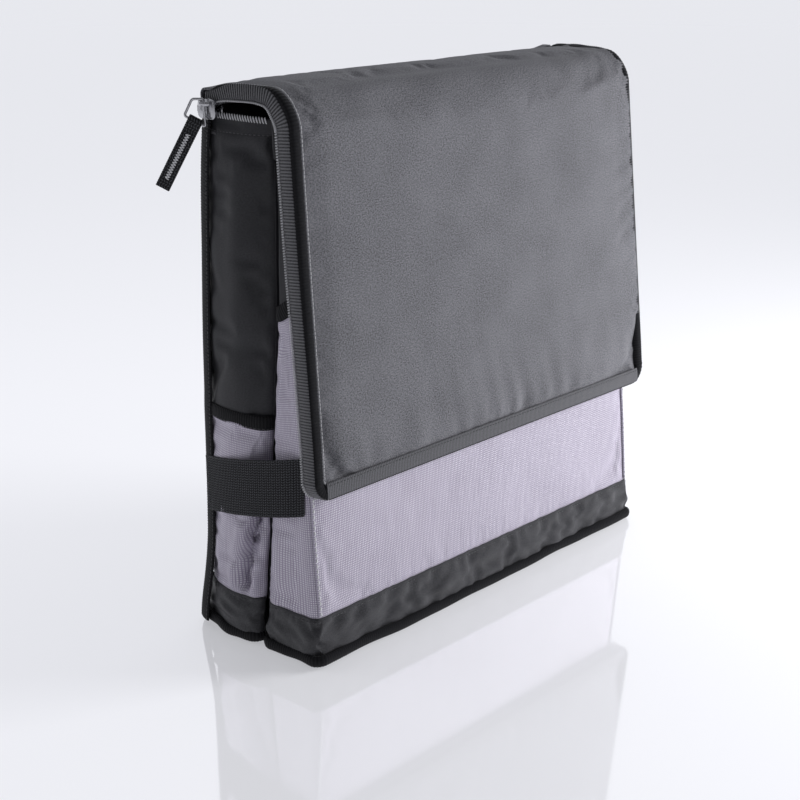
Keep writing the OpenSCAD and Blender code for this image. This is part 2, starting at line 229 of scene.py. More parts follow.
def make_light():
    """A room brighter toward one side and dim overhead, as between two soft boxes, and the lamps."""
    bpy.context.scene.view_settings.view_transform = "Standard"
    world = bpy.data.worlds.new("studio")
    world.use_nodes = True
    tree = world.node_tree
    back = tree.nodes["Background"]
    back.inputs["Color"].default_value = ROOM_COLOR
    way = tree.nodes.new("ShaderNodeTexCoord").outputs["Generated"]
    toward = tree.nodes.new("ShaderNodeVectorMath")
    toward.operation = "DOT_PRODUCT"
    toward.inputs[1].default_value = BRIGHT_WAY
    split = tree.nodes.new("ShaderNodeSeparateXYZ")
    both = tree.nodes.new("ShaderNodeMath")
    both.operation = "MULTIPLY"
    level = map_range(tree, toward.outputs["Value"], -0.7, 0.75, 0.2, 0.84, "SMOOTHSTEP")
    # A darker strip of room along the horizon keeps the far floor from burning out
    strip = map_range(tree, split.outputs["Z"], 0.02, 0.30, 0.56, 1.0)
    for a, b in ((way, toward.inputs[0]), (way, split.inputs[0]), (level, both.inputs[0]),
                 (strip, both.inputs[1]), (both.outputs[0], back.inputs["Strength"])):
        tree.links.new(a, b)
    bpy.context.scene.world = world
    for lamp in LAMPS:
        area_light(*lamp)


make_camera()
make_light()

# -------- materials


class Paint:
    """A material whose nodes are added one call at a time; lengths on its surface are in millimetres."""

    def __init__(self, name):
        self.mat = bpy.data.materials.new(name)
        self.mat.use_nodes = True
        self.tree = self.mat.node_tree
        self.uv = self.new("ShaderNodeUVMap", uv_map="uv").outputs["UV"]
        split = self.new("ShaderNodeSeparateXYZ", self.uv)
        self.u, self.v = split.outputs["X"], split.outputs["Y"]

    def new(self, kind, *values, **settings):
        """A node with its settings, and values for its first sockets."""
        node = self.tree.nodes.new(kind)
        for key, value in settings.items():
            setattr(node, key, value)
        for socket, value in zip(node.inputs, values):
            self.put(socket, value)
        return node

    def put(self, socket, value):
        if isinstance(value, bpy.types.NodeSocket):
            self.tree.links.new(value, socket)
        else:
            socket.default_value = (*value, 1.0) if socket.type == "RGBA" else value

    def math(self, op, *values):
        return self.new("ShaderNodeMath", *values, operation=op).outputs[0]

    def add(self, a, b):
        return self.math("ADD", a, b)

    def mul(self, a, b):
        return self.math("MULTIPLY", a, b)

    def noise(self, size, detail=2.0, stretch=(1.0, 1.0)):
        rate = (1.0 / (size * stretch[0]), 1.0 / (size * stretch[1]), 1.0)
        scaled = self.new("ShaderNodeVectorMath", self.uv, rate, operation="MULTIPLY")
        return self.grain(scaled.outputs[0], 1.0, detail)

    def grain(self, place, scale, detail):
        node = self.new("ShaderNodeTexNoise", place)
        node.inputs["Scale"].default_value = scale
        node.inputs["Detail"].default_value = detail
        return node.outputs["Fac"]

    def wave(self, coord, pitch):
        """0 to 1 and back over each pitch."""
        return self.math("MULTIPLY_ADD", self.math("SINE", self.mul(coord, 2 * math.pi / pitch)), 0.5, 0.5)

    def range(self, value, *limits):
        return map_range(self.tree, value, *limits)

    def mix(self, amount, a, b):
        node = self.new("ShaderNodeMix", data_type="RGBA")
        for number, value in ((0, amount), (6, a), (7, b)):
            self.put(node.inputs[number], value)
        return node.outputs[2]

    def bump(self, height, distance, strength, before=None):
        node = self.new("ShaderNodeBump")
        node.inputs["Strength"].default_value = strength
        node.inputs["Distance"].default_value = distance * MM
        self.put(node.inputs["Height"], height)
        if before is not None:
            self.put(node.inputs["Normal"], before)
        return node.outputs["Normal"]

    def done(self, color, rough, normal, **constants):
        sockets = self.tree.nodes["Principled BSDF"].inputs
        for key, value in (("Base Color", color), ("Roughness", rough), ("Normal", normal)):
            self.put(sockets[key], value)
        for key, value in constants.items():
            sockets[key.replace("_", " ")].default_value = value
        return self.mat


def woven(name, dark, light, pitch, relief, rough, sheen, cloud=0.35, speck=0.5):
    """Plain fine weave: crossed threads, a cloudy shade and faint slubs."""
    p = Paint(name)
    threads = p.mul(p.wave(p.u, pitch), p.wave(p.v, pitch))
    cloudy = p.noise(38.0, 3.0)
    fine = p.range(p.noise(1.1, 2.0, (1.0, 0.75)), 0.22, 0.78)
    twill = p.wave(p.add(p.u, p.mul(p.v, 0.9)), pitch * 2.1)
    shade = p.add(p.mul(cloudy, cloud), p.mul(fine, speck))
    shade = p.add(shade, p.mul(p.mul(threads, twill), 0.45))
    color = p.mix(p.range(shade, 0.25, 0.95), dark, light)
    normal = p.bump(threads, relief, 0.6)
    normal = p.bump(twill, relief * 0.8, 0.4, normal)
    normal = p.bump(fine, relief * 0.9, 0.4, normal)
    normal = p.bump(p.noise(9.0, 3.0, (1.0, 1.5)), 0.35, 0.35, normal)
    return p.done(color, p.range(cloudy, 0.3, 0.7, rough - 0.05, rough + 0.06), normal,
                  Sheen_Weight=sheen, Sheen_Roughness=0.5, Specular_IOR_Level=0.3)


def silver_weave():
    """Small raised squares of bright thread on a lilac ground."""
    p = Paint("silver_fabric")
    pitch = 1.5
    square = p.mul(p.range(p.wave(p.u, pitch), 0.12, 0.55), p.range(p.wave(p.v, pitch), 0.12, 0.55))
    height = p.add(square, p.mul(p.wave(p.v, pitch / 3), 0.35))
    streak = p.noise(2.2, 1.0, (0.9, 14.0))
    cloudy = p.noise(45.0, 3.0)
    bright = p.mix(p.range(streak, 0.3, 0.7), (0.60, 0.58, 0.64), (0.76, 0.74, 0.80))
    ground = p.mix(cloudy, (0.29, 0.25, 0.35), (0.37, 0.33, 0.43))
    color = p.mix(p.range(cloudy, 0.35, 0.65, 0.0, 0.2), p.mix(square, ground, bright), (0.54, 0.50, 0.61))
    normal = p.bump(p.noise(12.0, 3.0, (1.0, 2.0)), 0.5, 0.35, p.bump(height, 0.12, 0.7))
    return p.done(color, p.range(square, 0.0, 1.0, 0.5, 0.38), normal, Metallic=0.3,
                  Sheen_Weight=0.1, Sheen_Roughness=0.4, Specular_IOR_Level=0.5)


def ribbed_tape(name, dark, light, pitch=1.9):
    """Tape with ribs across it and fine threads along it, its rib crests painted lighter as a painted highlight."""
    p = Paint(name)
    ribs = p.wave(p.u, pitch)
    fuzz = p.noise(0.8)
    # The rib crests are painted lighter and the troughs darker, a painted highlight and shade on the ribs; the fuzz is
    # random tone
    color = p.mix(p.range(p.add(p.mul(ribs, 0.6), p.mul(fuzz, 0.6)), 0.2, 1.1), dark, light)
    normal = p.bump(p.wave(p.v, 0.45), 0.05, 0.6, p.bump(ribs, 0.16, 0.7))
    return p.done(color, 0.7, p.bump(fuzz, 0.1, 0.6, normal),
                  Sheen_Weight=0.03, Sheen_Roughness=0.5, Specular_IOR_Level=0.2)


def chevron_webbing():
    """Narrow columns of slanted threads, each leaning the other way from its neighbour."""
    p = Paint("webbing")
    ridge = p.wave(p.add(p.v, p.mul(p.math("PINGPONG", p.u, COLUMN), SLANT)), THREAD_PITCH)
    groove = p.range(p.math("PINGPONG", p.u, COLUMN / 2), 0.05, 0.5)
    fuzz = p.noise(0.7)
    height = p.mul(ridge, groove)
    shade = p.add(p.mul(height, 0.8), p.mul(fuzz, 0.4))
    # Colour follows the weave's height: painted shade in the grooves between columns and threads, lighter on the
    # ridges; the fuzz is random tone
    color = p.mix(p.range(shade, 0.3, 1.05), (0.001, 0.001, 0.002), (0.088, 0.091, 0.101))
    return p.done(color, 0.6, p.bump(fuzz, 0.1, 0.5, p.bump(height, 0.3, 0.8)),
                  Sheen_Weight=0.03, Sheen_Roughness=0.45, Specular_IOR_Level=0.25)


def polished(name, dark, light, grain, polish, relief, **constants):
    """Shiny plastic or metal, a little smeared."""
    p = Paint(name)
    smear = p.noise(*grain)
    rough = p.range(smear, 0.3, 0.7, *polish)
    return p.done(p.mix(smear, dark, light), rough, p.bump(smear, *relief), **constants)


def sewing_thread(name, dark, light, rough):
    p = Paint(name)
    twist = p.wave(p.add(p.u, p.v), 0.5)
    return p.done(p.mix(twist, dark, light), rough, p.bump(twist, 0.05, 0.6), Sheen_Weight=0.2)


def pressed_board():
    """Board, carried on CAD solids, so its grain follows the solid's own place."""
    p = Paint("board")
    grain = p.grain(p.new("ShaderNodeTexCoord").outputs["Object"], 300.0, 4.0)
    return p.done(p.mix(grain, (0.2, 0.185, 0.16), (0.34, 0.315, 0.28)), 0.75, p.bump(grain, 0.2, 0.4))


def hook_tape():
    p = Paint("hook_loop")
    fuzz = p.noise(0.9, 3.0)
    rows = p.mul(p.wave(p.u, 1.3), p.wave(p.v, 1.3))
    color = p.mix(p.mul(fuzz, rows), (0.004, 0.004, 0.005), (0.05, 0.05, 0.055))
    return p.done(color, 0.85, p.bump(p.add(rows, fuzz), 0.4, 0.8), Sheen_Weight=0.4)


# Webbing's weave: width of a column, slope of its threads and their pitch
COLUMN, SLANT, THREAD_PITCH = 1.9, 0.6, 1.7
MATERIALS = {
    "lid_fabric": woven("lid_fabric", (0.031, 0.031, 0.035), (0.22, 0.22, 0.24), 0.62, 0.06, 0.62, 0.02, 0.3, 0.8),
    "side_fabric": woven("side_fabric", (0.010, 0.010, 0.012), (0.043, 0.043, 0.049), 0.62, 0.04, 0.5, 0.03),
    "skirt_fabric": woven("skirt_fabric", (0.018, 0.018, 0.02), (0.082, 0.082, 0.09), 0.62, 0.05, 0.4, 0.04),
    "lining": woven("lining", (0.085, 0.085, 0.09), (0.16, 0.16, 0.168), 0.9, 0.09, 0.6, 0.1),
    "silver_fabric": silver_weave(),
    "binding": ribbed_tape("binding", (0.002, 0.002, 0.003), (0.012, 0.012, 0.014)),
    # The zip tape's light end is high, so its rib crests carry strong painted highlights
    "zip_tape": ribbed_tape("zip_tape", (0.001, 0.001, 0.002), (0.240, 0.240, 0.255)),
    "webbing": chevron_webbing(),
    # The coil's pale grey is a painted highlight: the teeth are dark plastic, lightened to stand for their shine
    "zip_coil": polished("zip_coil", (0.36, 0.36, 0.38), (0.70, 0.70, 0.72), (0.6,), (0.18, 0.3), (0.03, 0.4),
                         Specular_IOR_Level=0.6),
    "thread": sewing_thread("thread", (0.60, 0.60, 0.63), (0.90, 0.90, 0.92), 0.55),
    # The chrome's base colour is darkened, a painted reflection of dark surroundings; the smear varies it at random
    "chrome": polished("chrome", (0.30, 0.30, 0.32), (0.62, 0.62, 0.64), (1.6, 3.0, (1.0, 4.0)), (0.16, 0.3),
                       (0.02, 0.3), Metallic=1.0),
    "hook_loop": hook_tape(),
    "board": pressed_board(),
}
DARK_THREAD = sewing_thread("thread_dark", (0.02, 0.02, 0.022), (0.09, 0.09, 0.1), 0.5)
# The hem tape's light end gives its rib crests painted highlights
HEM_TAPE = ribbed_tape("hem_tape", (0.016, 0.016, 0.018), (0.20, 0.20, 0.215), 1.5)

# -------- lines of the bag, in millimetres

TAPER = math.tan(math.radians(0.66))
SIDE = 172.0
SKIRT_H = 32.0
ARC_Y, ARC_R = 14.0, 72.06
ARC_X = SIDE + 4 - ARC_R
FRONT_LEAN = 28.0 / 346.0


def line(table):
    """A wall's line by height, eased where its slope changes."""
    zs, ys = zip(*table)

    def at(z):
        z = np.asarray(z, float)
        return sum(np.interp(z + d, zs, ys) for d in (-20, -10, 0, 10, 20)) / 5
    return at


rear_y = line([(-40, 50.3), (60, 48.5), (220, 48), (300, 44), (393, 31)])
crease_y = line([(-40, -6), (0, -6), (31, -7), (222, -19), (353, -20), (393, -20)])


def front_y(z):
    return -56.0 + FRONT_LEAN * np.asarray(z, float)


def side_arc(y, radius=ARC_R):
    """Distance of the rear section's bowed side from the middle, at the foot."""
    return ARC_X + np.sqrt(radius ** 2 - (y - ARC_Y) ** 2)


def lumps(a, b, size, seed=0):
    """Smooth uneven field between about -1 and 1 over two coordinates, the same every run."""
    rng = np.random.default_rng(seed)
    total = 0.0
    for k in range(7):
        angle = rng.uniform(0, 2 * math.pi)
        rate = 2 * math.pi / (size * rng.uniform(0.6, 1.7))
        total = total + np.sin(rate * (a * math.cos(angle) + b * math.sin(angle)) + rng.uniform(0, 6.28))
    return total / 3.2


def bell(x, width):
    return np.exp(-(np.asarray(x, float) / width) ** 2)


def ease(x, low, high):
    t = np.clip((np.asarray(x, float) - low) / (high - low), 0, 1)
    return t * t * (3 - 2 * t)


# -------- mesh builders


def xyz(*parts):
    """Points from their coordinates, each a number or an array."""
    return np.stack(np.broadcast_arrays(*parts), axis=-1)


def spread(a, b):
    """Two coordinates over a grid, each from its own list or (first, last, count)."""
    return np.meshgrid(*(np.linspace(*v) if isinstance(v, tuple) else v for v in (a, b)), indexing="ij")


def unit(v):
    return v / np.maximum(np.linalg.norm(v, axis=-1, keepdims=True), 1e-9)


def add_object(name, verts, faces, uvs, material, slot):
    mesh = bpy.data.meshes.new(name)
    mesh.from_pydata((np.asarray(verts) * MM).tolist(), [], faces)
    layer = mesh.uv_layers.new(name="uv")
    corner = np.empty(len(mesh.loops), dtype=np.int32)
    mesh.loops.foreach_get("vertex_index", corner)
    layer.data.foreach_set("uv", np.asarray(uvs, dtype=np.float32)[corner].ravel())
    mesh.polygons.foreach_set("use_smooth", [True] * len(mesh.polygons))
    mesh.materials.append(material or MATERIALS[slot])
    mesh.update()
    obj = link(name, mesh)
    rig.slot(obj, slot)
    return obj


def tidy_normals(obj):
    bm = bmesh.new()
    bm.from_mesh(obj.data)
    bmesh.ops.recalc_face_normals(bm, faces=bm.faces)
    bm.to_mesh(obj.data)
    bm.free()
    return obj


def normals_of(grid):
    return unit(np.cross(np.gradient(grid, axis=0), np.gradient(grid, axis=1)))


def push(grid, amount):
    """Moves every point of a grid out along its normal."""
    return grid + normals_of(grid) * amount[..., None]


def quads(index):
    return np.stack([index[:-1, :-1], index[1:, :-1], index[1:, 1:], index[:-1, 1:]], axis=-1).reshape(-1, 4)


def grid_lengths(grid):
    """Distances along both ways of a grid, in millimetres, for its pattern."""
    du = np.linalg.norm(np.diff(grid, axis=0), axis=2).mean(axis=1)
    dv = np.linalg.norm(np.diff(grid, axis=1), axis=2).mean(axis=0)
    return xyz(*spread(*(np.concatenate([[0], np.cumsum(d)]) for d in (du, dv))))


def shell(name, grid, thick, slot, uv=None, material=None, flip=False):
    """Closed sheet of fabric whose outer face is the grid, with a rounded edge all round. A grid faces
    the way its first direction crossed with its second points, unless it is flipped."""
    uv = grid_lengths(grid) if uv is None else uv
    if flip:
        grid, uv = grid[::-1], uv[::-1]
    count = grid.shape[0] * grid.shape[1]
    index = np.arange(count).reshape(grid.shape[:2])
    ring = np.concatenate([index[:-1, 0], index[-1, :-1], index[:0:-1, -1], index[0, :0:-1]])
    inside = np.concatenate([index[:-1, 1], index[-2, :-1], index[:0:-1, -2], index[1, :0:-1]])
    outer, inner = (g.reshape(-1, 3) for g in (grid, grid - normals_of(grid) * thick))
    middle = (outer[ring] + inner[ring]) / 2 + unit(outer[ring] - outer[inside]) * thick * 0.35
    uvs = uv.reshape(-1, 2)
    top = quads(index)
    mid = np.arange(len(ring)) + 2 * count
    nxt, mid_nxt = np.roll(ring, -1), np.roll(mid, -1)
    faces = np.concatenate([top, (top + count)[:, ::-1], xyz(nxt, ring, mid, mid_nxt),
                            xyz(mid_nxt, mid, ring + count, nxt + count)])
    return add_object(name, np.concatenate([outer, inner, middle]), faces.tolist(),
                      np.concatenate([uvs, uvs, uvs[ring]]), material, slot)


def distances(path):
    return np.concatenate([[0], np.cumsum(np.linalg.norm(np.diff(path, axis=0), axis=1))])


def points_at(path, gone, at):
    """Every column of a path at given distances along it."""
    return np.stack([np.interp(at, gone, column) for column in path.T], axis=1)


def resample(path, step, least=2, columns=None):
    """Points of a path at even steps, and the distance of each, measured over its first columns."""
    path = np.asarray(path, float)
    gone = distances(path[:, :columns])
    at = np.linspace(0, gone[-1], max(least, int(round(gone[-1] / step)) + 1))
    return points_at(path, gone, at), at


def with_outward(path, outward):
    return np.concatenate([np.asarray(path, float), np.broadcast_to(outward, np.shape(path))], axis=1)


def sweep(name, path, outward, profile, slot, rib=0.0, pitch=1.9, step=None, material=None, closed=False):
    """A profile carried along a path. outward is the surface's normal, or one at each path point; the
    profile's first number runs across the path, its second along outward. Ribs are raised lines across it."""
    both, at = resample(with_outward(path, outward), step or (pitch / 4 if rib else 2.0), 3, 3)
    centre, out = both[:, :3], unit(both[:, 3:])
    if closed:
        centre, out, at = centre[:-1], out[:-1], at[:-1]
        tangent = unit(np.roll(centre, -1, axis=0) - np.roll(centre, 1, axis=0))
    else:
        tangent = unit(np.gradient(centre, axis=0))
    out = unit(out - tangent * np.sum(out * tangent, axis=1, keepdims=True))
    across = np.cross(tangent, out)
    profile = np.asarray(profile, float)
    edge = np.roll(profile, -1, axis=0) - np.roll(profile, 1, axis=0)
    face = unit(xyz(edge[:, 1], -edge[:, 0]))
    ribbed = profile + face * (rib * np.cos(2 * math.pi * at / pitch))[:, None, None]
    verts = centre[:, None] + ribbed[..., :1] * across[:, None] + ribbed[..., 1:] * out[:, None]
    index = np.arange(verts.shape[0] * verts.shape[1]).reshape(verts.shape[:2])
    ends = [] if closed else [index[0].tolist(), index[-1][::-1].tolist()]
    if closed:
        index = np.concatenate([index, index[:1]])
    faces = quads(np.concatenate([index, index[:, :1]], axis=1)).tolist() + ends
    uvs = xyz(*spread(at, distances(profile))).reshape(-1, 2)
    return tidy_normals(add_object(name, verts.reshape(-1, 3), faces, uvs, material, slot))


def capsules(name, centres, along, out, half, radius, slot, material=None):
    """Many short lengths of thread or tooth, each tapering into the cloth at both ends."""
    centres = np.asarray(centres, float)
    along, out = unit(np.broadcast_to(along, centres.shape)), np.broadcast_to(out, centres.shape)
    out = unit(out - along * np.sum(out * along, axis=1, keepdims=True))
    ts = np.array([-1.0, -0.82, -0.45, 0.0, 0.45, 0.82, 1.0])
    rs = np.array([0.25, 0.75, 0.97, 1.0, 0.97, 0.75, 0.25])
    sides, arch = 6, 0.25
    angle = np.arange(sides) * 2 * math.pi / sides
    ring = (np.cos(angle)[:, None] * np.cross(along, out)[:, None, None]
            + np.sin(angle)[:, None] * out[:, None, None])
    spine = centres[:, None] + (ts * half)[:, None] * along[:, None]
    spine = spine + (arch * radius * (1 - 2 * ts ** 4))[:, None] * out[:, None]
    verts = spine[:, :, None] + ring * (rs * radius)[:, None, None]
    index = np.arange(verts[..., 0].size).reshape(verts.shape[:3])
    wrapped = np.concatenate([index, index[:, :, :1]], axis=2)
    faces = xyz(wrapped[:, :-1, :-1], wrapped[:, :-1, 1:], wrapped[:, 1:, 1:], wrapped[:, 1:, :-1])
    faces = faces.reshape(-1, 4).tolist() + index[:, 0, :].tolist() + index[:, -1, ::-1].tolist()
    u, v = np.broadcast_arrays((ts * half)[:, None], angle * radius)
    uvs = np.broadcast_to(xyz(u, v), (*verts.shape[:3], 2)).reshape(-1, 2)
    return tidy_normals(add_object(name, verts.reshape(-1, 3), faces, uvs, material, slot))


def stitches(name, path, outward, pitch=3.0, share=0.7, radius=0.24, material=DARK_THREAD):
    """A sewn line: thread lying on the surface, dipping in between stitches."""
    both = with_outward(path, outward)
    gone = distances(both[:, :3])
    at = np.arange(pitch / 2, gone[-1] - pitch / 2, pitch)
    spots, ahead = points_at(both, gone, at), points_at(both[:, :3], gone, at + 0.5)
    centres, out = spots[:, :3], spots[:, 3:]
    return capsules(name, centres, ahead - centres, out, pitch * share / 2, radius, "thread", material)


def swell(grid, pinned, pressure=4.0, grow=0.015, cap=3.0, frames=20):
    """Fills a sheet out with cloth simulation, held at its pinned points; no point moves more than cap."""
    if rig.quick():
        return grid
    index = np.arange(pinned.size).reshape(pinned.shape)
    mesh = bpy.data.meshes.new("swell")
    mesh.from_pydata((grid.reshape(-1, 3) * MM).tolist(), [], quads(index).tolist())
    obj = link("swell", mesh)
    obj.vertex_groups.new(name="pin").add(index[pinned > 0].tolist(), 1.0, "REPLACE")
    cloth = obj.modifiers.new("cloth", "CLOTH")
    cloth.settings.use_pressure = True
    cloth.settings.uniform_pressure_force = pressure
    cloth.settings.effector_weights.gravity = 0.0
    cloth.settings.vertex_group_mass = "pin"
    cloth.settings.shrink_min = -grow
    cloth.settings.quality = 5
    cloth.collision_settings.use_collision = False
    cloth.point_cache.frame_start, cloth.point_cache.frame_end = 1, frames
    scene = bpy.context.scene
    for number in range(1, frames + 1):
        scene.frame_set(number)
    shape = obj.evaluated_get(bpy.context.evaluated_depsgraph_get()).data
    found = np.empty(len(shape.vertices) * 3)
    shape.vertices.foreach_get("co", found)
    scene.frame_set(1)
    bpy.data.objects.remove(obj)
    bpy.data.meshes.remove(mesh)
    move = found.reshape(grid.shape) / MM - grid
    size = np.linalg.norm(move, axis=2, keepdims=True)
    return grid + move * (cap * np.tanh(size / cap) / np.maximum(size, 1e-6))


def finer(grid, times=2):
    """The same sheet with more points, on smooth curves through the old ones."""
    for axis in (0, 1):
        n = grid.shape[axis]
        g = np.moveaxis(grid, axis, 0)
        padded = np.concatenate([2 * g[:1] - g[1:2], g, 2 * g[-1:] - g[-2:-1]])
        at = np.linspace(0, n - 1, (n - 1) * times + 1)
        k = np.minimum(at.astype(int), n - 2)
        t = (at - k).reshape(-1, *([1] * (g.ndim - 1)))
        p0, p1, p2, p3 = (padded[k + step] for step in range(4))
        g = 0.5 * (2 * p1 + (p2 - p0) * t + (2 * p0 - 5 * p1 + 4 * p2 - p3) * t ** 2
                   + (3 * p1 - p0 - 3 * p2 + p3) * t ** 3)
        grid = np.moveaxis(g, 0, axis)
    return grid


def sided(sign, points):
    """Points drawn for the left side, mirrored for the right one."""
    return np.asarray(points) * np.array([sign, 1.0, 1.0])


def place(obj, body, *replaced):
    if replaced:
        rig.replaces(obj, *replaced)
    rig.ride(obj, body)


def lay(sign, name, grid, thick, slot, body, node, **more):
    """A sheet drawn for the left side, laid on its own side."""
    place(shell(name, sided(sign, grid), thick, slot, flip=sign < 0, **more), body, node)


def axes(grid):
    return np.moveaxis(grid, -1, 0)


# -------- plans of the two sections


def front_loop(z, off, counts=(5, 14, 6, 60)):
    """The front section's outline at one height, from the left fold round the front to the right fold."""
    side = SIDE + off - TAPER * z
    back = float(crease_y(z)) - 2.0
    front = float(front_y(z)) - off
    roll, r = 7.0, 5.0 + off * 0.5
    reach = min(roll, (back - front - r) * 0.5)
    n_roll, n_side, n_corner, n_front = counts
    t = np.linspace(0, math.pi / 2, n_roll, endpoint=False)
    rolled = xyz(-(side - roll + roll * np.sin(t)), back - reach * (1 - np.cos(t)))
    flank = xyz(-side, np.linspace(back - reach, front + r, n_side, endpoint=False))
    t = np.linspace(0, math.pi / 2, n_corner, endpoint=False)
    corner = xyz(-(side - r) - r * np.cos(t), front + r - r * np.sin(t))
    wall = xyz(np.linspace(-(side - r), 0, n_front // 2, endpoint=False), front)
    half = np.concatenate([rolled, flank, corner, wall])
    return np.concatenate([half, [[0.0, front]], half[::-1] * (-1.0, 1.0)])


def rear_side_line(z, off, n=40, rear_margin=0.0):
    """The left side's outline of the rear section at one height, from its rear edge to the fold."""
    back = float(rear_y(z)) - rear_margin
    front = float(crease_y(z)) + 2.0
    y = back + (front - back) * np.linspace(0, 1, n)
    roll = 6.0
    d = np.clip(1 - (y - front) / roll, 0, 1)
    x = side_arc(y, ARC_R + off) - TAPER * z - roll * (1 - np.sqrt(np.clip(1 - d ** 2, 0, 1)))
    return xyz(-x, y)


def rear_loop(z, off):
    """The rear section's outline at one height, from the right fold round the back to the left fold."""
    r = 4.0 + off * 0.5
    side = rear_side_line(z, off, 30, r - off)
    back = float(rear_y(z)) + off
    edge = -side[0, 0]
    t = np.linspace(math.pi / 2, 0, 6, endpoint=False)
    corner = xyz(-(edge - r) - r * np.cos(t), back - r + r * np.sin(t))
    wall = xyz(np.linspace(0, -(edge - r), 30, endpoint=False), back)
    left = np.concatenate([wall, corner, side])
    return np.concatenate([left[::-1] * (-1.0, 1.0), left[1:]])


def stack(loop, heights, off, **more):
    """A grid of one outline drawn at many heights; off is a distance, or finds one from the height."""
    return np.stack([xyz(*loop(z, off(z) if callable(off) else off, **more).T, z) for z in heights], axis=1)


def facing(path):
    """Level direction square to the path, on the side away from the bag's middle."""
    tangent = unit(np.gradient(path, axis=0))
    out = xyz(-tangent[:, 1], tangent[:, 0], 0.0)
    sign = np.sign(np.sum(out[:, :2] * path[:, :2], axis=1, keepdims=True))
    return out * np.where(sign == 0, 1, sign)


def edges_pinned(grid):
    pinned = np.ones(grid.shape[:2])
    pinned[1:-1, 1:-1] = 0
    return pinned


# Flat tape folded over an edge, and a thinner tape lying on a face
WELT = [(-4.4, -1.8), (-4.6, -0.2), (-4.2, 1.3), (-2.8, 2.3), (-0.8, 2.7), (1.2, 2.5), (3.2, 1.9), (4.3, 0.9),
        (4.6, -0.4), (4.4, -1.8), (1.6, -2.2), (-1.6, -2.2)]
TAPE = [(-4.6, -0.5), (-4.7, 0.1), (-4.1, 0.75), (-2.0, 1.15), (0.0, 1.25), (2.0, 1.15), (4.1, 0.75),
        (4.7, 0.1), (4.6, -0.5), (0.0, -0.7)]

# -------- front section

FRONT_POCKET_H = 229.0
FRONT_ZIP_Z = 341.0


def front_skin():
    grid = stack(front_loop, np.linspace(3, 345.5, 56), 0.0)
    x, y, z = axes(grid)
    grid = push(grid, 0.35 * lumps(x + y * 2, z, 60, 4) * ease(z, 0, 40) - 0.3)
    place(shell("front_skin", grid, 2.0, "side_fabric"), FRONT,
          "front_panel", "front_side_left", "front_side_right")


def pocket_relief(grid, low, seed):
    """Soft puckers above the lower seam and shallow dents in the cloth."""
    s = grid_lengths(grid)[..., 0]
    z = grid[..., 2]
    puckers = np.abs(np.sin(s / 9.5 + 1.6 * lumps(s, s * 0, 90, seed)))
    puckers = (puckers - 0.6) * bell(z - low, 22) * (0.55 + 0.45 * lumps(s, z, 70, seed + 1))
    return 0.9 * puckers + 0.55 * lumps(s + z * 0.3, z * 0.6, 95, seed + 2)


def front_pocket():
    grid = stack(front_loop, np.linspace(SKIRT_H - 1.0, FRONT_POCKET_H, 40), 1.3, counts=(6, 12, 5, 90))
    pinned = edges_pinned(grid)
    pinned[(np.abs(grid[:, 0, 0]) > SIDE - 6) & (grid[:, 0, 1] < -40)] = 1
    grid = finer(swell(grid, pinned, 4.0, 0.012, 1.6))
    x, y, z = axes(grid)
    side = ease(np.abs(x), SIDE - 4, SIDE)
    from_corner = np.abs(np.abs(x) + y - front_y(z) - SIDE + 4)
    seams = ease(from_corner, 3, 24) * ease(z, SKIRT_H, SKIRT_H + 9)
    grid = push(grid, 0.8 * pocket_relief(grid, SKIRT_H, 21) * seams - 0.5 * ease(SKIRT_H + 3 - z, 0, 3))
    # The side's top edge slopes down toward the fold
    grid[..., 2] -= ease(grid[..., 1], -42, -20) * side * 8 * ease(z, 120, FRONT_POCKET_H)
    # A slack fold of cloth stands out beside the gusset, deepest near the foot
    slack = bell(crease_y(z) - grid[..., 1] - 12, 6) * side * bell(z - 60, 60)
    grid[..., 0] += np.sign(grid[..., 0]) * slack * 1.4
    place(shell("front_pocket_cloth", grid, 1.2, "silver_fabric"), FRONT, "front_pocket")
    path = front_loop(236.0, 1.5)
    path = xyz(*path.T, 234.0 - 8.0 * ease(path[:, 1], -40, -22))
    place(sweep("front_pocket_edge", path, facing(path), TAPE, "binding", 0.12), FRONT,
          "front_pocket_binding")


def foot_skirt(name, loop, seed, body, node):
    grid = stack(loop, np.linspace(2.2, SKIRT_H + 0.5, 12), lambda z: 1.9 + 1.6 * bell(z - 17, 9))
    grid = finer(swell(grid, edges_pinned(grid), 5.0, 0.02, 1.3))
    s = grid_lengths(grid)[..., 0]
    x, y, z = axes(grid)
    wrinkle = lumps(s * 0.55 + z * 1.2, z * 2.0 - s * 0.15, 34, seed)
    wrinkle = wrinkle + 0.5 * lumps(s + 2 * z, z, 17, seed + 5)
    # Tucked in at the corners below, so the cloth there comes to a point above the welt
    corner = np.abs(np.abs(x) - SIDE) + np.abs(y - (front_y(z) - 1.9))
    tuck = -2.4 * bell(corner, 5.5) * bell(z - 7, 9) + 0.9 * bell(corner - 11, 6) * bell(z - 13, 9)
    grid = push(grid, 1.05 * wrinkle * bell(z - 17, 12) + tuck)
    place(shell(name, grid, 1.5, "skirt_fabric"), body, node)
    top = xyz(*loop(SKIRT_H - 1.6, 2.25).T, SKIRT_H - 1.6)
    place(stitches(name + "_stitches", top[4:-4], facing(top)[4:-4], 3.2, 0.74, 0.26), body)


def foot_welt(name, loop, body, node):
    """Folded tape round the foot, a little wavy and flared at the rear corners."""
    path = loop(4.9, 2.7)
    s = np.arange(len(path))
    wave = 0.7 + 1.5 * lumps(s * 3.0, s, 60, 9) + 0.6 * lumps(s * 3.0, s, 24, 29)
    path = xyz(*path.T, 4.0 + np.clip(wave, 0, 3.4))
    rear_corners = ease(np.abs(path[:, 0]), 140, 165) * ease(path[:, 1], 30, 44)
    path += facing(path) * (0.5 + 1.0 * lumps(s * 3.0, s, 50, 19) + 3.4 * rear_corners)[:, None]
    place(sweep(name, path, facing(path), np.array(WELT) * 0.8, "binding", 0.12), body, node)


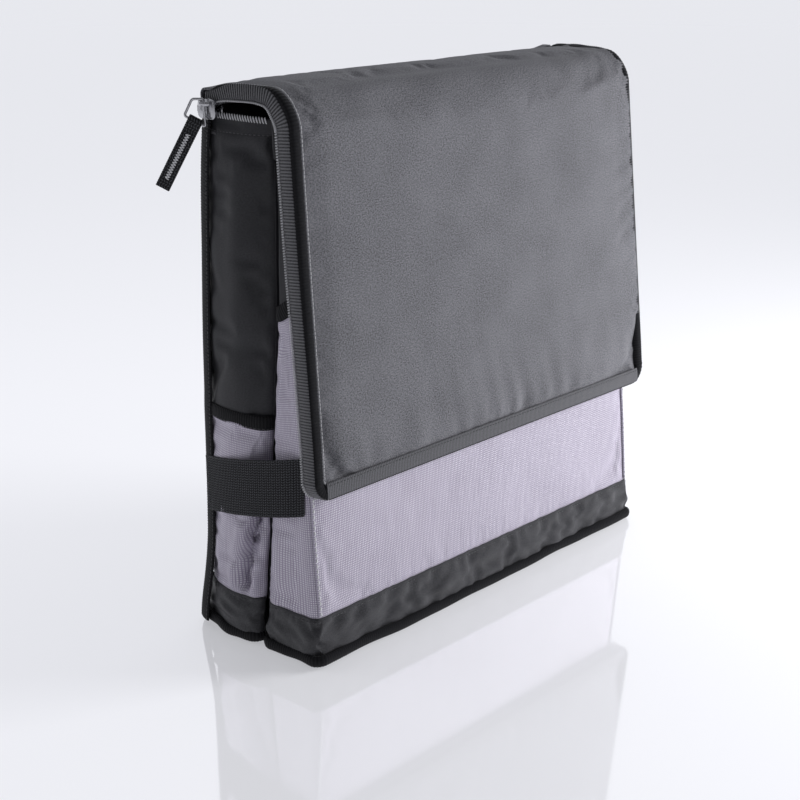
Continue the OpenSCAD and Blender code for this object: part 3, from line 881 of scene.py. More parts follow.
def base_panel(name, y0, y1, half, body, node):
    """Slightly dished base cloth, its edges turned up into the welt."""
    gx, gy = spread((-half, half, 70), (y0, y1, 14))
    inner = ease(np.minimum(half - np.abs(gx), np.minimum(gy - y0, y1 - gy)), 0, 12)
    grid = xyz(gx, gy, 1.9 - 0.9 * inner + 0.25 * lumps(gx, gy, 60, 31) * inner)
    place(shell(name, grid, 1.2, "skirt_fabric", flip=True), body, node)


def corner_seams():
    """White-stitched upright seam at each front corner, with the pale edge of the joined cloth beside it."""
    z = np.linspace(SKIRT_H + 2, 226, 120)
    y = front_y(z) - 1.3
    x = -(SIDE + 1.3 - TAPER * z) + 5.2 + 0.25 * np.sin(z / 17)
    lip = [(-1.1, -0.5), (-1.3, 0.05), (-0.9, 0.42), (0.0, 0.55), (0.9, 0.42), (1.3, 0.05), (1.1, -0.5)]
    for sign, side in SIDES:
        place(sweep("corner_seam_" + side, xyz((x - 1.4) * sign, y - 0.5, z), (-0.35 * sign, -1.0, 0.0), lip,
                    "silver_fabric", step=2.5), FRONT)
        place(stitches("corner_stitches_" + side, xyz((x - 1.1) * sign, y - 1.15, z), (0.0, -1.0, 0.0),
                       3.6, 0.78, 0.55, None), FRONT)


def front_zip():
    path = front_loop(FRONT_ZIP_Z, 0.6, counts=(3, 4, 6, 60))
    path = path[path[:, 1] < float(front_y(FRONT_ZIP_Z)) + 6]
    full = xyz(*path.T, FRONT_ZIP_Z - 0.6)
    flat = [(-5.8, -0.5), (-5.9, 0.1), (-5.2, 0.4), (0, 0.5), (5.2, 0.4), (5.9, 0.1), (5.8, -0.5)]
    place(sweep("front_zip_band", full, facing(full), flat, "zip_tape", 0.06, 1.3), FRONT, "front_zip_tape")
    points, _ = resample(xyz(*path.T, FRONT_ZIP_Z + 3.6), 1.5)
    out = facing(points)
    along = unit(np.gradient(points, axis=0)) * 0.35 + (0, 0, 1.0)
    place(capsules("front_zip_teeth", points + out * 0.9, along, out, 1.35, 0.5, "zip_coil"), FRONT,
          "front_zip_coil")


front_skin()
front_pocket()
foot_skirt("front_foot_skirt", front_loop, 41, FRONT, "front_skirt")
foot_welt("front_foot_welt", front_loop, FRONT, "front_base_binding")
base_panel("front_base_cloth", -55.5, -10.0, 170.0, FRONT, "front_base")
corner_seams()
front_zip()

# -------- rear section

REAR_POCKET_H = 154.0
REAR_TOP = 335
# Foot and top of the rear section's zip band, and how far its foot is drawn in by the taper
BAND_LOW, BAND_HIGH = 333.5, 342.6
BAND_IN = TAPER * 334 - 0.5


def rear_side(sign, side):
    grid = stack(rear_side_line, np.linspace(3, REAR_TOP, 60), 0.0, n=26, rear_margin=0.6)
    grid = finer(swell(grid, edges_pinned(grid), 3.0, 0.015, 1.2))
    _, y, z = axes(grid)
    ahead = y - crease_y(z)
    open_cloth = ease(ahead, 2, 14) * ease(rear_y(z) - y, 2, 12)
    open_cloth = open_cloth * ease(z, 155, 185) * ease(REAR_TOP - z, 0, 10)
    folds = lumps(y * 2.2, z * 0.35, 60, 51) * 0.8 + 0.45 * lumps(y + z * 0.5, z * 0.5, 36, 52)
    grid = push(grid, -folds * open_cloth * 0.9)
    # The cloth falls into the fold a little further down, and lies deeper behind the pocket
    grid[..., 0] += 1.6 * bell(ahead - 8, 6) * ease(z, 150, 230) * ease(REAR_TOP - z, 0, 40)
    deep = 2.6 + 3.2 * ease(34 - ahead, 0, 14) + 5.0 * bell(ahead - 12, 9) * ease(112 - z, 0, 20)
    grid = push(grid, -deep * ease(152 - z, 0, 6) * ease(rear_y(z) - 2 - y, 0, 5) * ease(z, 4, 26))
    lay(sign, "rear_side_cloth_" + side, grid, 1.8, "side_fabric", REAR, "rear_side_" + side)


def rear_pocket(sign, side):
    grid = stack(rear_side_line, np.linspace(SKIRT_H - 1.0, REAR_POCKET_H, 30), 1.4, n=34, rear_margin=6.0)
    grid = finer(swell(grid, edges_pinned(grid), 4.0, 0.02, 1.6))
    _, y, z = axes(grid)
    ahead = y - crease_y(z)
    fold = lumps(y * 1.6 + z * 0.4, z * 0.4, 38, 66) * bell(z - 60, 45) * ease(ahead, 3, 12)
    # A pleat opens downward beside the fold, from under the strap to the foot
    off_pleat = ahead - (6.0 + 9.0 * ease(100 - z, 0, 60))
    wide = 3.0 + 1.8 * ease(100 - z, 0, 55)
    pleat = -9.8 * bell(off_pleat, wide) + 2.4 * bell(off_pleat - 9, 5) + 1.6 * bell(off_pleat + 8, 3)
    foot = ease(z, SKIRT_H, SKIRT_H + 9)
    held = foot * ease(rear_y(z) - 8 - y, 0, 9) * ease(REAR_POCKET_H - z, 0, 8)
    grid = push(grid, (0.7 * pocket_relief(grid, SKIRT_H, 61 + sign) + 0.6 * fold) * held
                + pleat * ease(110 - z, 0, 22) * foot - 0.5 * ease(SKIRT_H + 3 - z, 0, 3))
    lay(sign, "rear_pocket_cloth_" + side, grid, 1.2, "silver_fabric", REAR, "rear_pocket_" + side)
    path = sided(sign, xyz(*rear_side_line(153.5, 1.5, rear_margin=5.0).T, 153.3))
    place(sweep("rear_pocket_edge_" + side, path, facing(path), TAPE, "binding", 0.12), REAR,
          "rear_pocket_binding_" + side)
    run = path - (0, 0, 3.4)
    place(stitches("rear_pocket_stitches_" + side, run + facing(run) * 0.95, facing(run)), REAR)


def rear_edge(sign, side):
    """Upright binding folded over the seam at the rear corner, from the foot to the zip."""
    z = np.linspace(5.0, 343, 220)
    y = rear_y(z) - 5.6 + 1.5 * (1 - ease(z, 8, 70))
    x = side_arc(y, ARC_R + 2.0 + 0.5 * (1 - ease(z, 150, 168))) - TAPER * z + 6.4 * (1 - ease(z, 4, 70))
    out = np.array([-0.93, 0.37, 0.0])
    wander = 0.2 * np.sin(z / 23) + 0.5 * lumps(z, z * 0, 60, 57) * (1 - ease(z, 10, 90))
    path = xyz(-x, y, z) + out * wander[:, None]
    front = sided(sign, path + 4.9 * np.array([-0.37, -0.93, 0.0]) + 0.9 * out)
    path, out = sided(sign, path), sided(sign, out)
    place(sweep("rear_edge_tape_" + side, path, out, np.array(TAPE) * (1.34, 1.0), "binding", 0.12), REAR,
          "rear_edge_binding_" + side)
    place(stitches("rear_edge_stitches_" + side, front, out), REAR)


def rear_wall():
    gx, gz = spread((166.5, -166.5, 60), (3, 351, 56))
    grid = xyz(gx * (1 - TAPER * gz / SIDE), rear_y(gz), gz)
    grid = finer(swell(grid, edges_pinned(grid), 4.0, 0.01, 1.6))
    x, _, z = axes(grid)
    soft = ease(166 - np.abs(x), 0, 20) * ease(z, 30, 50) * ease(350 - z, 0, 20)
    grid = push(grid, (0.7 * lumps(x, z * 0.8, 140, 71) + 0.3 * lumps(x, z, 60, 72)) * soft)
    place(shell("rear_wall_cloth", grid, 2.0, "side_fabric"), REAR, "rear_panel")


def rear_corner(x):
    """How far the lid's rear corners stand above its middle."""
    return ease(np.abs(x), 148, 174) * np.where(np.asarray(x) < 0, -1.5, 3.4)


def rear_seam():
    """Rolled seam of the lid's cloth over the rear top edge, turning with the lid."""
    angle = np.radians(-8 + 104 * np.linspace(0, 1, 13))
    rolled = xyz(36.0 + 4.2 * np.cos(angle), 354.8 + 4.2 * np.sin(angle))
    low, high = [(39.6, 349.0), (40.0, 352.0)], [(33.0, 359.0), (29.5, 358.9)]
    profile, _ = resample(np.concatenate([low, rolled, high]), 1.2)
    x = np.linspace(169.5, -169.5, 120)[:, None]
    y, z = profile.T
    grid = xyz(x, y, z + rear_corner(x) * ease(z, 349, 354))
    grid = push(grid, 0.25 * lumps(x, x * 0, 30, 81) * bell(np.arange(len(profile)) - 7, 5))
    roll = shell("rear_seam_roll", grid, 1.4, "lid_fabric")
    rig.replaces(roll, "hinge_binding")
    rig.blend(roll, REAR, "lid_top", (0, 0.0400, 0.3500), (0, 0.0300, 0.3590))


def rear_zip(sign, side):
    y = np.linspace(float(crease_y(340)) + 1.5, 41.0, 60)
    gy, gz = spread(y[::-1], (BAND_LOW, BAND_HIGH, 12))
    arc = side_arc(gy) - BAND_IN
    flat = 171.3 - 1.6 * ease(gy, 30, 42) - 1.2 * ease(-gy, 6, 20)
    x = arc + (np.minimum(flat, arc) - arc) * ease(gz, BAND_LOW, 339)
    lay(sign, "rear_zip_band_" + side, xyz(-x, gy, gz), 1.0, "zip_tape", REAR, "rear_zip_tape_" + side,
        material=MATERIALS["side_fabric"])
    row = xyz(-171.2 + 1.2 * ease(-y, 6, 20) + 1.5 * ease(y, 32, 41), y, BAND_HIGH)
    out = np.array([-1.0 * sign, 0.0, 0.0])
    points = sided(sign, resample(row, 2.3)[0])
    place(capsules("rear_zip_teeth_" + side, points + out * 0.6, (0.0, 0.35, 1.0), out, 2.1, 0.5, "zip_coil"),
          REAR, "rear_zip_coil_" + side)
    seam = sided(sign, xyz(-x[:, 0] - 0.35, y[::-1], BAND_LOW - 0.3))
    place(stitches("rear_zip_stitches_" + side, seam, facing(seam), radius=0.26), REAR)
    y = np.linspace(24.5, 30.5, 14)
    bar = sided(sign, xyz(BAND_IN - side_arc(y), y, 331.0))
    place(capsules("bar_tack_" + side, bar, (0.0, 0.12, 1.0), out, 1.5, 0.26, "thread", DARK_THREAD), REAR)


rear_wall()
rear_seam()
for one, name in SIDES:
    for build in (rear_side, rear_pocket, rear_edge, rear_zip):
        build(one, name)
foot_skirt("rear_foot_skirt", rear_loop, 43, REAR, "rear_skirt")
foot_welt("rear_foot_welt", rear_loop, REAR, "rear_base_binding")
base_panel("rear_base_cloth", -2.0, 49.5, 168.0, REAR, "rear_base")

# -------- folds between the sections

GUSSET_DEEP, BASE_GUSSET_DEEP = 34.0, 33.0


def side_gusset(sign, side):
    """Hairpin fold of side cloth: its two layers meet deep inside and part as the sections spread."""
    gt, gz = spread((-1, 1, 31), (30, 334, 60))
    x = -(SIDE - 5.5 - TAPER * gz - GUSSET_DEEP * (1 - np.abs(gt)))
    y = crease_y(gz) - np.sign(gt) * 2.4 * np.abs(gt) ** 0.9 + 0.35 * lumps(gz, x, 50, 91) * (1 - np.abs(gt))
    piece = shell("side_fold_" + side, sided(sign, xyz(x, y, gz)), 0.5, "side_fabric", flip=sign < 0)
    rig.replaces(piece, "side_gusset_" + side)
    # Square to the fold, which leans back as it rises
    half, middle, lean = 2.2, 170, 12.0 / 191.0
    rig.blend(piece, REAR, FRONT, *((0, float(crease_y(middle) + d) * MM, (middle + lean * d) * MM)
                                   for d in (half, -half)))


def base_gusset():
    gx, gt = spread((-164, 164, 70), (-1, 1, 25))
    high = BASE_GUSSET_DEEP * (1 - np.abs(gt))
    grid = xyz(gx, -6.0 + 3.0 * gt + 0.3 * lumps(gx, high, 60, 95), 2.6 + high)
    piece = shell("base_fold", grid, 0.5, "skirt_fabric", flip=True)
    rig.replaces(piece, "base_gusset")
    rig.blend(piece, REAR, FRONT, (0, -0.0030, 0.010), (0, -0.0090, 0.010))


for one, name in SIDES:
    side_gusset(one, name)
base_gusset()

# -------- lining


def lining(name, wall, away, high, toward, body, node, seed):
    """Lining of one wall, with its top edge turned over the board toward the outer cloth."""
    low = 5.0
    gx, gz = spread((163, -163, 50), (low, high, 46))
    slack = 0.6 * lumps(gx, gz, 70, seed) * ease(163 - np.abs(gx), 0, 15) * ease(gz, low, low + 15)
    y = wall(gz) + away + slack + ease(gz, high - 9, high) * toward
    grid = xyz(gx * (1 - TAPER * gz / SIDE), y, gz)
    place(shell(name, grid, 0.8, "lining", flip=toward > 0), body, node)


lining("rear_lining_cloth", rear_y, -8.0, 347.0, 5.0, REAR, "rear_liner", 101)
lining("front_lining_cloth", front_y, 7.4, 343.0, -4.6, FRONT, "front_liner", 103)

# -------- lid

LID_TOP_Z, LID_REAR_Y, LID_LOW = 359.0, 33.0, 112.6
FOLD_R = 22.0
LID_LEAN = math.atan(FRONT_LEAN)
FOLD_Z = LID_TOP_Z - FOLD_R
FOLD_Y = -68.5 + FRONT_LEAN * (FOLD_Z + FOLD_R * math.sin(LID_LEAN)) + FOLD_R * math.cos(LID_LEAN)
TOP_RUN = LID_REAR_Y - FOLD_Y
FOLD_RUN = FOLD_R * (math.pi / 2 - LID_LEAN)
DROP_RUN = (FOLD_Z + FOLD_R * math.sin(LID_LEAN) - LID_LOW) / math.cos(LID_LEAN)
LID_RUN = TOP_RUN + FOLD_RUN + DROP_RUN
LID_CORNER = 14.0


def lid_frame(s):
    """Place and outward normal on the lid's outer face, s along it from its rear edge to its bottom edge."""
    s = np.asarray(s, float)
    turn = np.clip((s - TOP_RUN) / FOLD_R, 0, math.pi / 2 - LID_LEAN)
    ny, nz = -np.sin(turn), np.cos(turn)
    down = np.maximum(s - TOP_RUN - FOLD_RUN, 0)
    y = LID_REAR_Y - np.minimum(s, TOP_RUN) + FOLD_R * ny - down * math.sin(LID_LEAN)
    return y, FOLD_Z + FOLD_R * nz - down * math.cos(LID_LEAN), ny, nz


def lid_half(s):
    return 172.0 + 6.0 * np.clip((np.asarray(s, float) - TOP_RUN - FOLD_RUN) / DROP_RUN, 0, 1)


def on_lid(s, x, depth=0.0):
    y, z, ny, nz = lid_frame(s)
    # The top is puffed up a little, its left rear corner low over the slider and its right rear corner high
    z = z + 2.4 * ease(s, -3, 22) * (1 - ease(s, TOP_RUN + 4, TOP_RUN + 24))
    z = z + rear_corner(x) * (1 - ease(s, -6, 44))
    # The flap hangs a little to the right of square
    x = np.asarray(x, float) + 3.5 * np.clip((np.asarray(s, float) - TOP_RUN) / DROP_RUN, 0, 1) ** 1.3
    return xyz(x, y - ny * depth, z - nz * depth)


def lid_normal(s):
    _, _, ny, nz = lid_frame(s)
    return xyz(0.0, ny, nz)


def lid_rim(inset, rear):
    """(s, x) along the lid's edge: down the left side, round the bottom and up the right side."""
    r = LID_CORNER - min(inset, 9.0)
    low = LID_RUN - inset
    s = np.linspace(rear, low - r, 300)
    t = np.linspace(0, math.pi / 2, 14)[1:]
    half = float(lid_half(LID_RUN)) - inset
    side = np.concatenate([xyz(s, inset - lid_half(s)),
                           xyz(low - r + r * np.sin(t), -(half - r) - r * np.cos(t)),
                           xyz(low, np.linspace(-(half - r), 0, 180)[1:-1])])
    return np.concatenate([side, [[low, 0.0]], side[::-1] * (1.0, -1.0)])


def lid_sheet(inset, ns, nx):
    """(s, x) of a grid over the lid, drawn in from its edge, with rounded bottom corners."""
    s = np.linspace(0.8, LID_RUN - inset, ns)
    r = LID_CORNER - min(inset, 9.0) + 4
    d = np.clip(r - (LID_RUN - inset - s), 0, r)
    half = lid_half(s) - inset - (r - np.sqrt(r * r - d * d)) * 0.8
    gs, gt = spread(s, (-1, 1, nx))
    return gs, gt * half[:, None]


def bend_lid(obj, *replaced):
    if replaced:
        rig.replaces(obj, *replaced)
    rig.blend(obj, "lid_top", "lid_front", (0, -0.0340, 0.3560), (0, -0.0440, 0.3260))


def lid_pad():
    """Foam-filled outer cloth: it rises from under the binding, lies flat and puckers at the hem."""
    gs, gx = lid_sheet(5.0, 76, 84)
    inside = np.minimum(lid_half(gs) - 5.0 - np.abs(gx), LID_RUN - 5.0 - gs)
    start = push(on_lid(gs, gx), -1.8 + 2.0 * ease(inside, 2.5, 20))
    pinned = edges_pinned(start)
    pinned[inside < 3.4] = 1.0
    grid = finer(swell(start, pinned, 4.0, 0.012, 1.7), 3)
    gs, gx = (finer(g[..., None], 3)[..., 0] for g in (gs, gx))
    hem, edge = LID_RUN - 8.5 - gs, lid_half(gs)
    # Puckers hang up from the bottom seam, strongest right of the middle
    tilt = gx + 0.12 * hem
    pucker = 0.6 * lumps(tilt, hem * 0.12, 34, 5) + 0.5 * lumps(tilt, hem * 0.2, 19, 6)
    fade = ease(hem, 0, 7) * np.exp(-np.clip(hem, 0, None) / 26)
    pucker = pucker * fade * (0.45 + 0.55 * bell(gx - 30, 95))
    # Creases where the cloth turns over the front top edge
    turn = gs - TOP_RUN - FOLD_RUN / 2
    crease = lumps(gx * 0.8 + turn * 0.5, turn * 1.3, 30, 7) * bell(turn, 15)
    crease = crease * (0.5 + 0.5 * lumps(gx, gx * 0, 130, 8))
    side = lumps(gs, gs * 0, 26, 11) * bell(edge - 10 - np.abs(gx), 12)
    relief = 2.5 * pucker + 0.6 * crease + 0.25 * side
    grid = push(grid, relief * ease(hem, -3, 6) * ease(edge - 8 - np.abs(gx), -2, 8))
    # On the right the filling pushes the cloth out over the binding
    over = ease(gx, edge - 24, edge - 5) * ease(LID_RUN - 24 - gs, 0, 24) * ease(gs, 4, 20)
    grid = push(grid, 2.5 * over)
    grid[..., 0] += 2.8 * over
    pad = shell("lid_pad", grid, 7.0, "lid_fabric", uv=xyz(gx, gs))
    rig.padded(pad, fill=0.7)
    bend_lid(pad, "lid_top_cover", "lid_front_cover", "lid_top_foam", "lid_front_foam")


def lid_lining():
    gs, gx = lid_sheet(6.0, 150, 90)
    grid = on_lid(gs, gx, 8.9 + 0.35 * lumps(gx, gs, 60, 12) * ease(LID_RUN - 14 - gs, 0, 20))
    bend_lid(shell("lid_lining", grid, 1.0, "lining", uv=xyz(gx, gs)), "lid_top_lining", "lid_front_lining")


def lid_edge():
    """Ribbed tape folded round the lid's edge, a fuzzier tape along the hem, and their stitches."""
    s, x = lid_rim(4.3, -3.0).T
    path = on_lid(s, x, 4.0 + 6.0 * ease(-s, -12, 3))
    welt = [(-5.2, 2.6), (-5.0, 4.1), (-3.4, 4.7), (-1.0, 4.85), (1.6, 4.5), (3.7, 3.4), (4.9, 1.6),
            (5.2, -0.4), (4.8, -2.4), (3.4, -3.8), (1.0, -4.4), (-2.0, -4.5), (-4.8, -4.3), (-5.0, -2.6)]
    welt = [(-a * 0.84, b) for a, b in welt][::-1]
    bend_lid(sweep("lid_edge_tape", path, lid_normal(s), welt, "binding", 0.16),
             "lid_top_binding", "lid_front_binding")
    hem = on_lid(LID_RUN - 6.3, np.linspace(-169.0, 169.0, 200), -0.75)
    bend_lid(sweep("lid_hem_tape", hem, lid_normal(LID_RUN - 6.3), np.array(TAPE) * (1.12, 0.5), "binding",
                   0.1, 1.5, material=HEM_TAPE))
    s, x = lid_rim(7.6, 4.0).T
    run = on_lid(s, x, -0.45)
    run[s > LID_RUN - 9] = on_lid(LID_RUN - 9.6, x[s > LID_RUN - 9], -1.3)
    out = lid_normal(s)
    turn = int(np.argmax(s > LID_RUN - 10))
    # The left side's stitches take the pale thread, a painted highlight; the stitches along the hem are dark thread
    bend_lid(stitches("lid_left_stitches_painted_highlight", run[:turn], out[:turn], 2.6, 0.86, 0.2, None))
    bend_lid(stitches("lid_hem_stitches", run[turn:-turn], out[turn:-turn], 3.0, 0.7, 0.3))


def zip_depth(s):
    """How much deeper the lid's zip is sewn down to the middle of the flap, and how much it is raised along
    the top."""
    return 1.6 * ease(260 - s, 0, 120), 3.6 * ease(TOP_RUN + 16 - s, 0, 26)


def lid_zip():
    """Half of the zip sewn under the lid's edge, its teeth along the outer rim."""
    s, x = lid_rim(0.2, 1.0).T
    sunk, raised = zip_depth(s)
    path = on_lid(s, x, 9.8 + sunk - raised * ease(s, 2, 30) - 4.6)
    path[:, 0] += np.sign(x) * 0.35
    tape = [(-0.55, -4.6), (-0.5, 4.4), (0.0, 4.8), (0.5, 4.2), (0.6, 0.0), (0.5, -4.4), (0.0, -4.8)]
    bend_lid(sweep("lid_zip_band", path, lid_normal(s), tape, "zip_tape", 0.2, 1.9),
             "lid_top_zip", "lid_front_zip_tape")
    rim = lid_rim(0.1, 2.0)
    s, x = rim.T
    sunk, raised = zip_depth(s)
    points, _ = resample(np.concatenate([on_lid(s, x, 10.9 + sunk - raised), rim], axis=1), 2.3)
    spots, normal = points[:, :3], lid_normal(points[:, 3])
    tangent = unit(np.gradient(spots, axis=0))
    across = np.cross(tangent, normal)
    along = across + 0.3 * tangent
    bend_lid(capsules("lid_zip_teeth", spots + 0.2 * across, along, normal, 1.7, 0.66, "zip_coil"),
             "lid_front_zip_coil")


lid_pad()
lid_lining()
lid_edge()
lid_zip()

# -------- straps

STRAP_WIDE = 38.0
STRAP_R = 148.3


def strap_x(y, radius):
    return 32.5 + np.sqrt(radius ** 2 - (y + 4.0) ** 2)


def strap_low(y):
    """Height of the strap's lower edge, which rises toward the front."""
    return 82.0 + 18.0 * (45.3 - y) / 86.3


def nap(y0, y1, reach):
    """A patch of hooks or loops under the strap; reach finds its distance from the middle."""
    gy, ga = spread((y1, y0, 30), (5.5, 32.5, 36))
    z = strap_low(gy) + ga
    return xyz(-(reach(gy, z) + 0.12 * np.sin(gy * 4.1) * np.sin(ga * 4.1)), gy, z)


def strap(sign, side):
    """Webbing across the side, bowed clear of the fold, with thicker selvedges and melted-square ends."""
    body = "strap_" + side
    gy, ga = spread((45.6, -46.6, 290), (0, STRAP_WIDE, 130))
    z = strap_low(gy) + ga
    x = strap_x(gy, STRAP_R)
    gone = grid_lengths(xyz(x, gy, z))[..., 0]
    saw = np.abs((gone / COLUMN) % 2 - 1) * COLUMN
    groove = ease(np.minimum(saw, COLUMN - saw), 0, 0.42)
    threads = np.sin((ga + SLANT * saw) * 2 * math.pi / THREAD_PITCH)
    ridge = (threads * 0.12 + 0.12) * groove - 0.22 * (1 - groove)
    edge = np.minimum(ga, STRAP_WIDE - ga)
    x = x + ridge * ease(edge, 0.3, 1.2) + 0.2 * bell(edge - 0.8, 0.8) - 0.35 * bell(edge, 0.35)
    x = x + 0.6 * np.sin(gone / 19.0) * (ga / STRAP_WIDE - 0.5) - 0.9 * ease(-gy, 34, 46)
    lay(sign, "strap_webbing_" + side, xyz(-x, gy, z), 1.7, "webbing", body, "side_strap_" + side,
        uv=xyz(gone, ga))
    hooks = nap(-34.0, -14.0, lambda y, z: strap_x(y, 146.8))
    lay(sign, "strap_hooks_" + side, hooks, 1.7, "hook_loop", body, "hook_patch_" + side)
    loops = nap(-38.0, -16.0, lambda y, z: SIDE + 3.2 - TAPER * z)
    lay(sign, "side_loops_" + side, loops, 1.1, "hook_loop", FRONT, "loop_patch_" + side)
    tack = sided(sign, xyz(-strap_x(42.0, STRAP_R) - 0.25, 42.0, 82.7 + np.linspace(4.0, 34.0, 20)))
    place(stitches("strap_stitches_" + side, tack, (-1.0 * sign, 0.3, 0.0), 2.6, 0.7, 0.28), body)


for one, name in SIDES:
    strap(one, name)

# -------- slider, puller and tab

SLIDER_Y = 28.0
PIVOT = np.array([-177.8, SLIDER_Y, 349.5])
PULL_TURN = math.radians(132)
PULL_H = np.array([math.cos(PULL_TURN), math.sin(PULL_TURN), 0.0])
PULL_N = np.array([-math.sin(PULL_TURN), math.cos(PULL_TURN), 0.0])
UP = np.array([0.0, 0.0, 1.0])
HANG = math.radians(-62)
HANG_DIR = math.cos(HANG) * PULL_H + math.sin(HANG) * UP
BAR_DIR = -math.sin(HANG) * PULL_H + math.cos(HANG) * UP
BAR_MID = PIVOT + 12.0 * HANG_DIR
TAB_LONG = 46.0


def turns(count):
    return [2 * math.pi * k / count for k in range(count)]


def rounded_plate(bm, outline, x0, x1, bevel):
    """Solid between two planes of x, with an outline in Y and Z, its edges rounded."""
    low, high = ([bm.verts.new((x * MM, y * MM, z * MM)) for y, z in outline] for x in (x0, x1))
    ends = [bm.faces.new(low), bm.faces.new(high[::-1])]
    for a, b, c, d in zip(low[1:] + low[:1], low, high, high[1:] + high[:1]):
        bm.faces.new((a, b, c, d))
    rim = [edge for face in ends for edge in face.edges]
    bmesh.ops.bevel(bm, geom=rim, offset=bevel * MM, segments=3, profile=0.6, affect="EDGES")


def slider_outline(half, low, high, waist):
    """Shield outline of a slider's plate: square shoulders and a narrowed waist."""
    points = []
    for a in turns(28):
        y, z = math.cos(a), math.sin(a)
        square = 1.0 / (abs(y) ** 4 + abs(z) ** 4) ** 0.25
        y, z = y * square, z * square
        narrow = 1 - waist * math.exp(-((y - 0.1) / 0.45) ** 2)
        points.append((SLIDER_Y + half * y, (low + high) / 2 + (high - low) / 2 * z * narrow))
    return points


def slider():
    bm = bmesh.new()
    rounded_plate(bm, slider_outline(7.9, 339.6, 352.4, 0.14), -176.2, -173.3, 0.8)
    rounded_plate(bm, slider_outline(7.6, 339.8, 349.2, 0.12), -169.7, -168.3, 0.4)
    neck = [(SLIDER_Y - 7, 347.7), (SLIDER_Y + 7, 347.7), (SLIDER_Y + 6.4, 349.4), (SLIDER_Y - 6.4, 349.4)]
    rounded_plate(bm, neck, -174.5, -169.0, 0.3)
    # The crown that holds the puller
    bow = np.linspace(0, math.pi, 13)
    crown = [(-175.6 - 4.2 * max(math.sin(a), 0) ** 0.8, SLIDER_Y - 4.2 * math.cos(a)) for a in bow]
    rings = []
    for k, (x, y) in enumerate(crown):
        after, before = crown[min(k + 1, 12)], crown[max(k - 1, 0)]
        dx, dy = after[0] - before[0], after[1] - before[1]
        size = math.hypot(dx, dy)
        ring = []
        for b in turns(12):
            w, h = 0.62 * math.cos(b) / size, 1.45 * math.sin(b)
            ring.append(bm.verts.new(((x + dy * w) * MM, (y - dx * w) * MM, (PIVOT[2] + h) * MM)))
        rings.append(ring)
    for a, b in zip(rings, rings[1:]):
        for q in range(12):
            r = (q + 1) % 12
            bm.faces.new((a[q], a[r], b[r], b[q]))
    bm.faces.new(rings[0][::-1])
    bm.faces.new(rings[-1])
    bmesh.ops.recalc_face_normals(bm, faces=bm.faces)
    layer = bm.loops.layers.uv.new("uv")
    for face in bm.faces:
        face.smooth = True
        for loop in face.loops:
            loop[layer].uv = (loop.vert.co.y / MM, (loop.vert.co.z + loop.vert.co.x) / MM)
    mesh = bpy.data.meshes.new("slider_body")
    bm.to_mesh(mesh)
    bm.free()
    mesh.materials.append(MATERIALS["chrome"])
    obj = link("slider_body", mesh)
    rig.slot(obj, "chrome")
    place(obj, "slider", "zip_slider")


def rounded_path(corners, radius):
    """Closed path through corners, each rounded off."""
    out = []
    for i, q in enumerate(corners):
        p, r = corners[i - 1], corners[(i + 1) % len(corners)]
        reach = min(radius, np.linalg.norm(p - q) * 0.45, np.linalg.norm(r - q) * 0.45)
        start, end = q + unit(p - q) * reach, q + unit(r - q) * reach
        out += [(1 - t) ** 2 * start + 2 * t * (1 - t) * q + t * t * end for t in np.linspace(0, 1, 6)]
    return np.array(out + out[:1])


def wire_puller():
    leg, wire = 2.75 * UP, 0.82
    path = rounded_path([PIVOT - leg, PIVOT + leg, PIVOT + 7 * PULL_H + leg, BAR_MID + 7.2 * BAR_DIR,
                         BAR_MID - 7.2 * BAR_DIR], 1.6)
    circle = [(wire * math.cos(a), wire * math.sin(a)) for a in turns(12)]
    place(sweep("puller_wire", path, PULL_N, circle, "chrome", step=0.5, closed=True), "puller",
          "puller_loop")


def tab_sag(d):
    return 0.9 * np.sin(np.clip(d, 0, TAB_LONG) / TAB_LONG * math.pi)


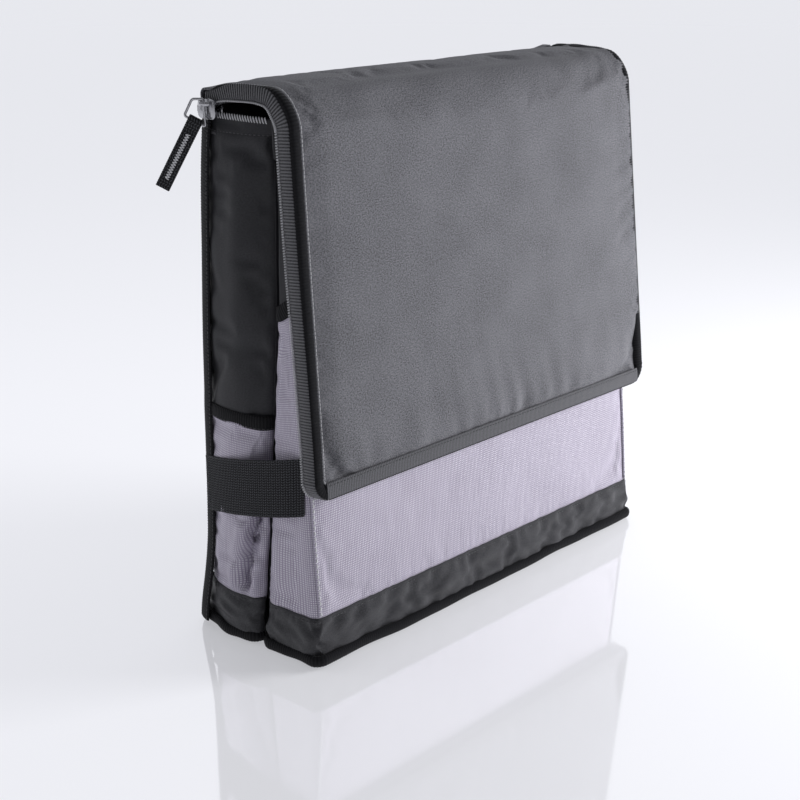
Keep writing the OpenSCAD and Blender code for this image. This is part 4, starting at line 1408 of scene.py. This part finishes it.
def pull_tab():
    """Webbing passed round the puller's bar and sewn back on itself, with a pale zigzag bar down it."""
    gap, eye = 0.72, 2.05
    loop = [(eye * math.cos(a), eye * math.sin(a)) for a in np.linspace(math.pi / 2, 3 * math.pi / 2, 16)]
    join = [(d, gap + (eye - gap) * (1 - float(ease(d, 0, 7)))) for d in np.linspace(3.0, 45.0, 60)]
    centre = np.array([(45.6, gap)] + join[::-1] + loop + [(d, -w) for d, w in join] + [(45.6, -gap)])
    path = BAR_MID + centre[:, :1] * HANG_DIR + (centre[:, 1:] + tab_sag(centre[:, :1])) * PULL_N
    flow = np.gradient(centre, axis=0)
    flat = unit(xyz(-flow[:, 1], flow[:, 0]))
    out = -(flat[:, :1] * HANG_DIR + flat[:, 1:] * PULL_N)
    band = [(-4.4, -0.55), (-4.5, 0.0), (-4.4, 0.55), (-3.6, 0.68), (0, 0.6), (3.6, 0.68), (4.4, 0.55),
            (4.5, 0.0), (4.4, -0.55), (3.6, -0.66), (0, -0.6), (-3.6, -0.66)]
    place(sweep("tab_webbing", path, out, band, "webbing", 0.06, 1.4), "tab", "pull_tab")
    d = np.arange(9.0, 39.0, 0.85)[:, None]
    lean = np.where(np.arange(len(d)) % 2 == 0, 0.28, -0.28)[:, None]
    for side, label in ((1, "front"), (-1, "back")):
        spots = BAR_MID + d * HANG_DIR + (side * (gap + 0.78) + tab_sag(d)) * PULL_N
        along = BAR_DIR + lean * HANG_DIR
        place(capsules("tab_bar_" + label, spots, along, side * PULL_N, 1.5, 0.36, "thread"), "tab")


slider()
wire_puller()
pull_tab()

# -------- CAD pieces that stay, floor, finish

for node in ("rear_board", "front_board", "rear_base_board", "front_base_board"):
    data = frame["nodes"][node].data
    data.materials.clear()
    data.materials.append(MATERIALS["board"])


def make_floor():
    """Pale glossy floor that glows a little, so that it mirrors the bag and stays nearly white."""
    mesh = bpy.data.meshes.new("floor")
    size = 14.0
    corners = [(-size, -size, 0), (size, -size, 0), (size, size, 0), (-size, size, 0)]
    mesh.from_pydata(corners, [], [(0, 1, 2, 3)])
    mat = bpy.data.materials.new("floor")
    mat.use_nodes = True
    sockets = mat.node_tree.nodes["Principled BSDF"].inputs
    for key, value in (("Base Color", (0.62, 0.62, 0.64, 1.0)), ("Roughness", 0.05), ("IOR", 2.8),
                       ("Emission Color", (0.95, 0.955, 1.0, 1.0)), ("Emission Strength", 0.41)):
        sockets[key].default_value = value
    mesh.materials.append(mat)
    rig.stage(link("floor", mesh))


make_floor()

seen_low, seen_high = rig.bounds()
with open("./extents.json", "w") as out:
    json.dump({"cad": [list(cad_low), list(cad_high)], "visual": [list(seen_low), list(seen_high)]}, out)
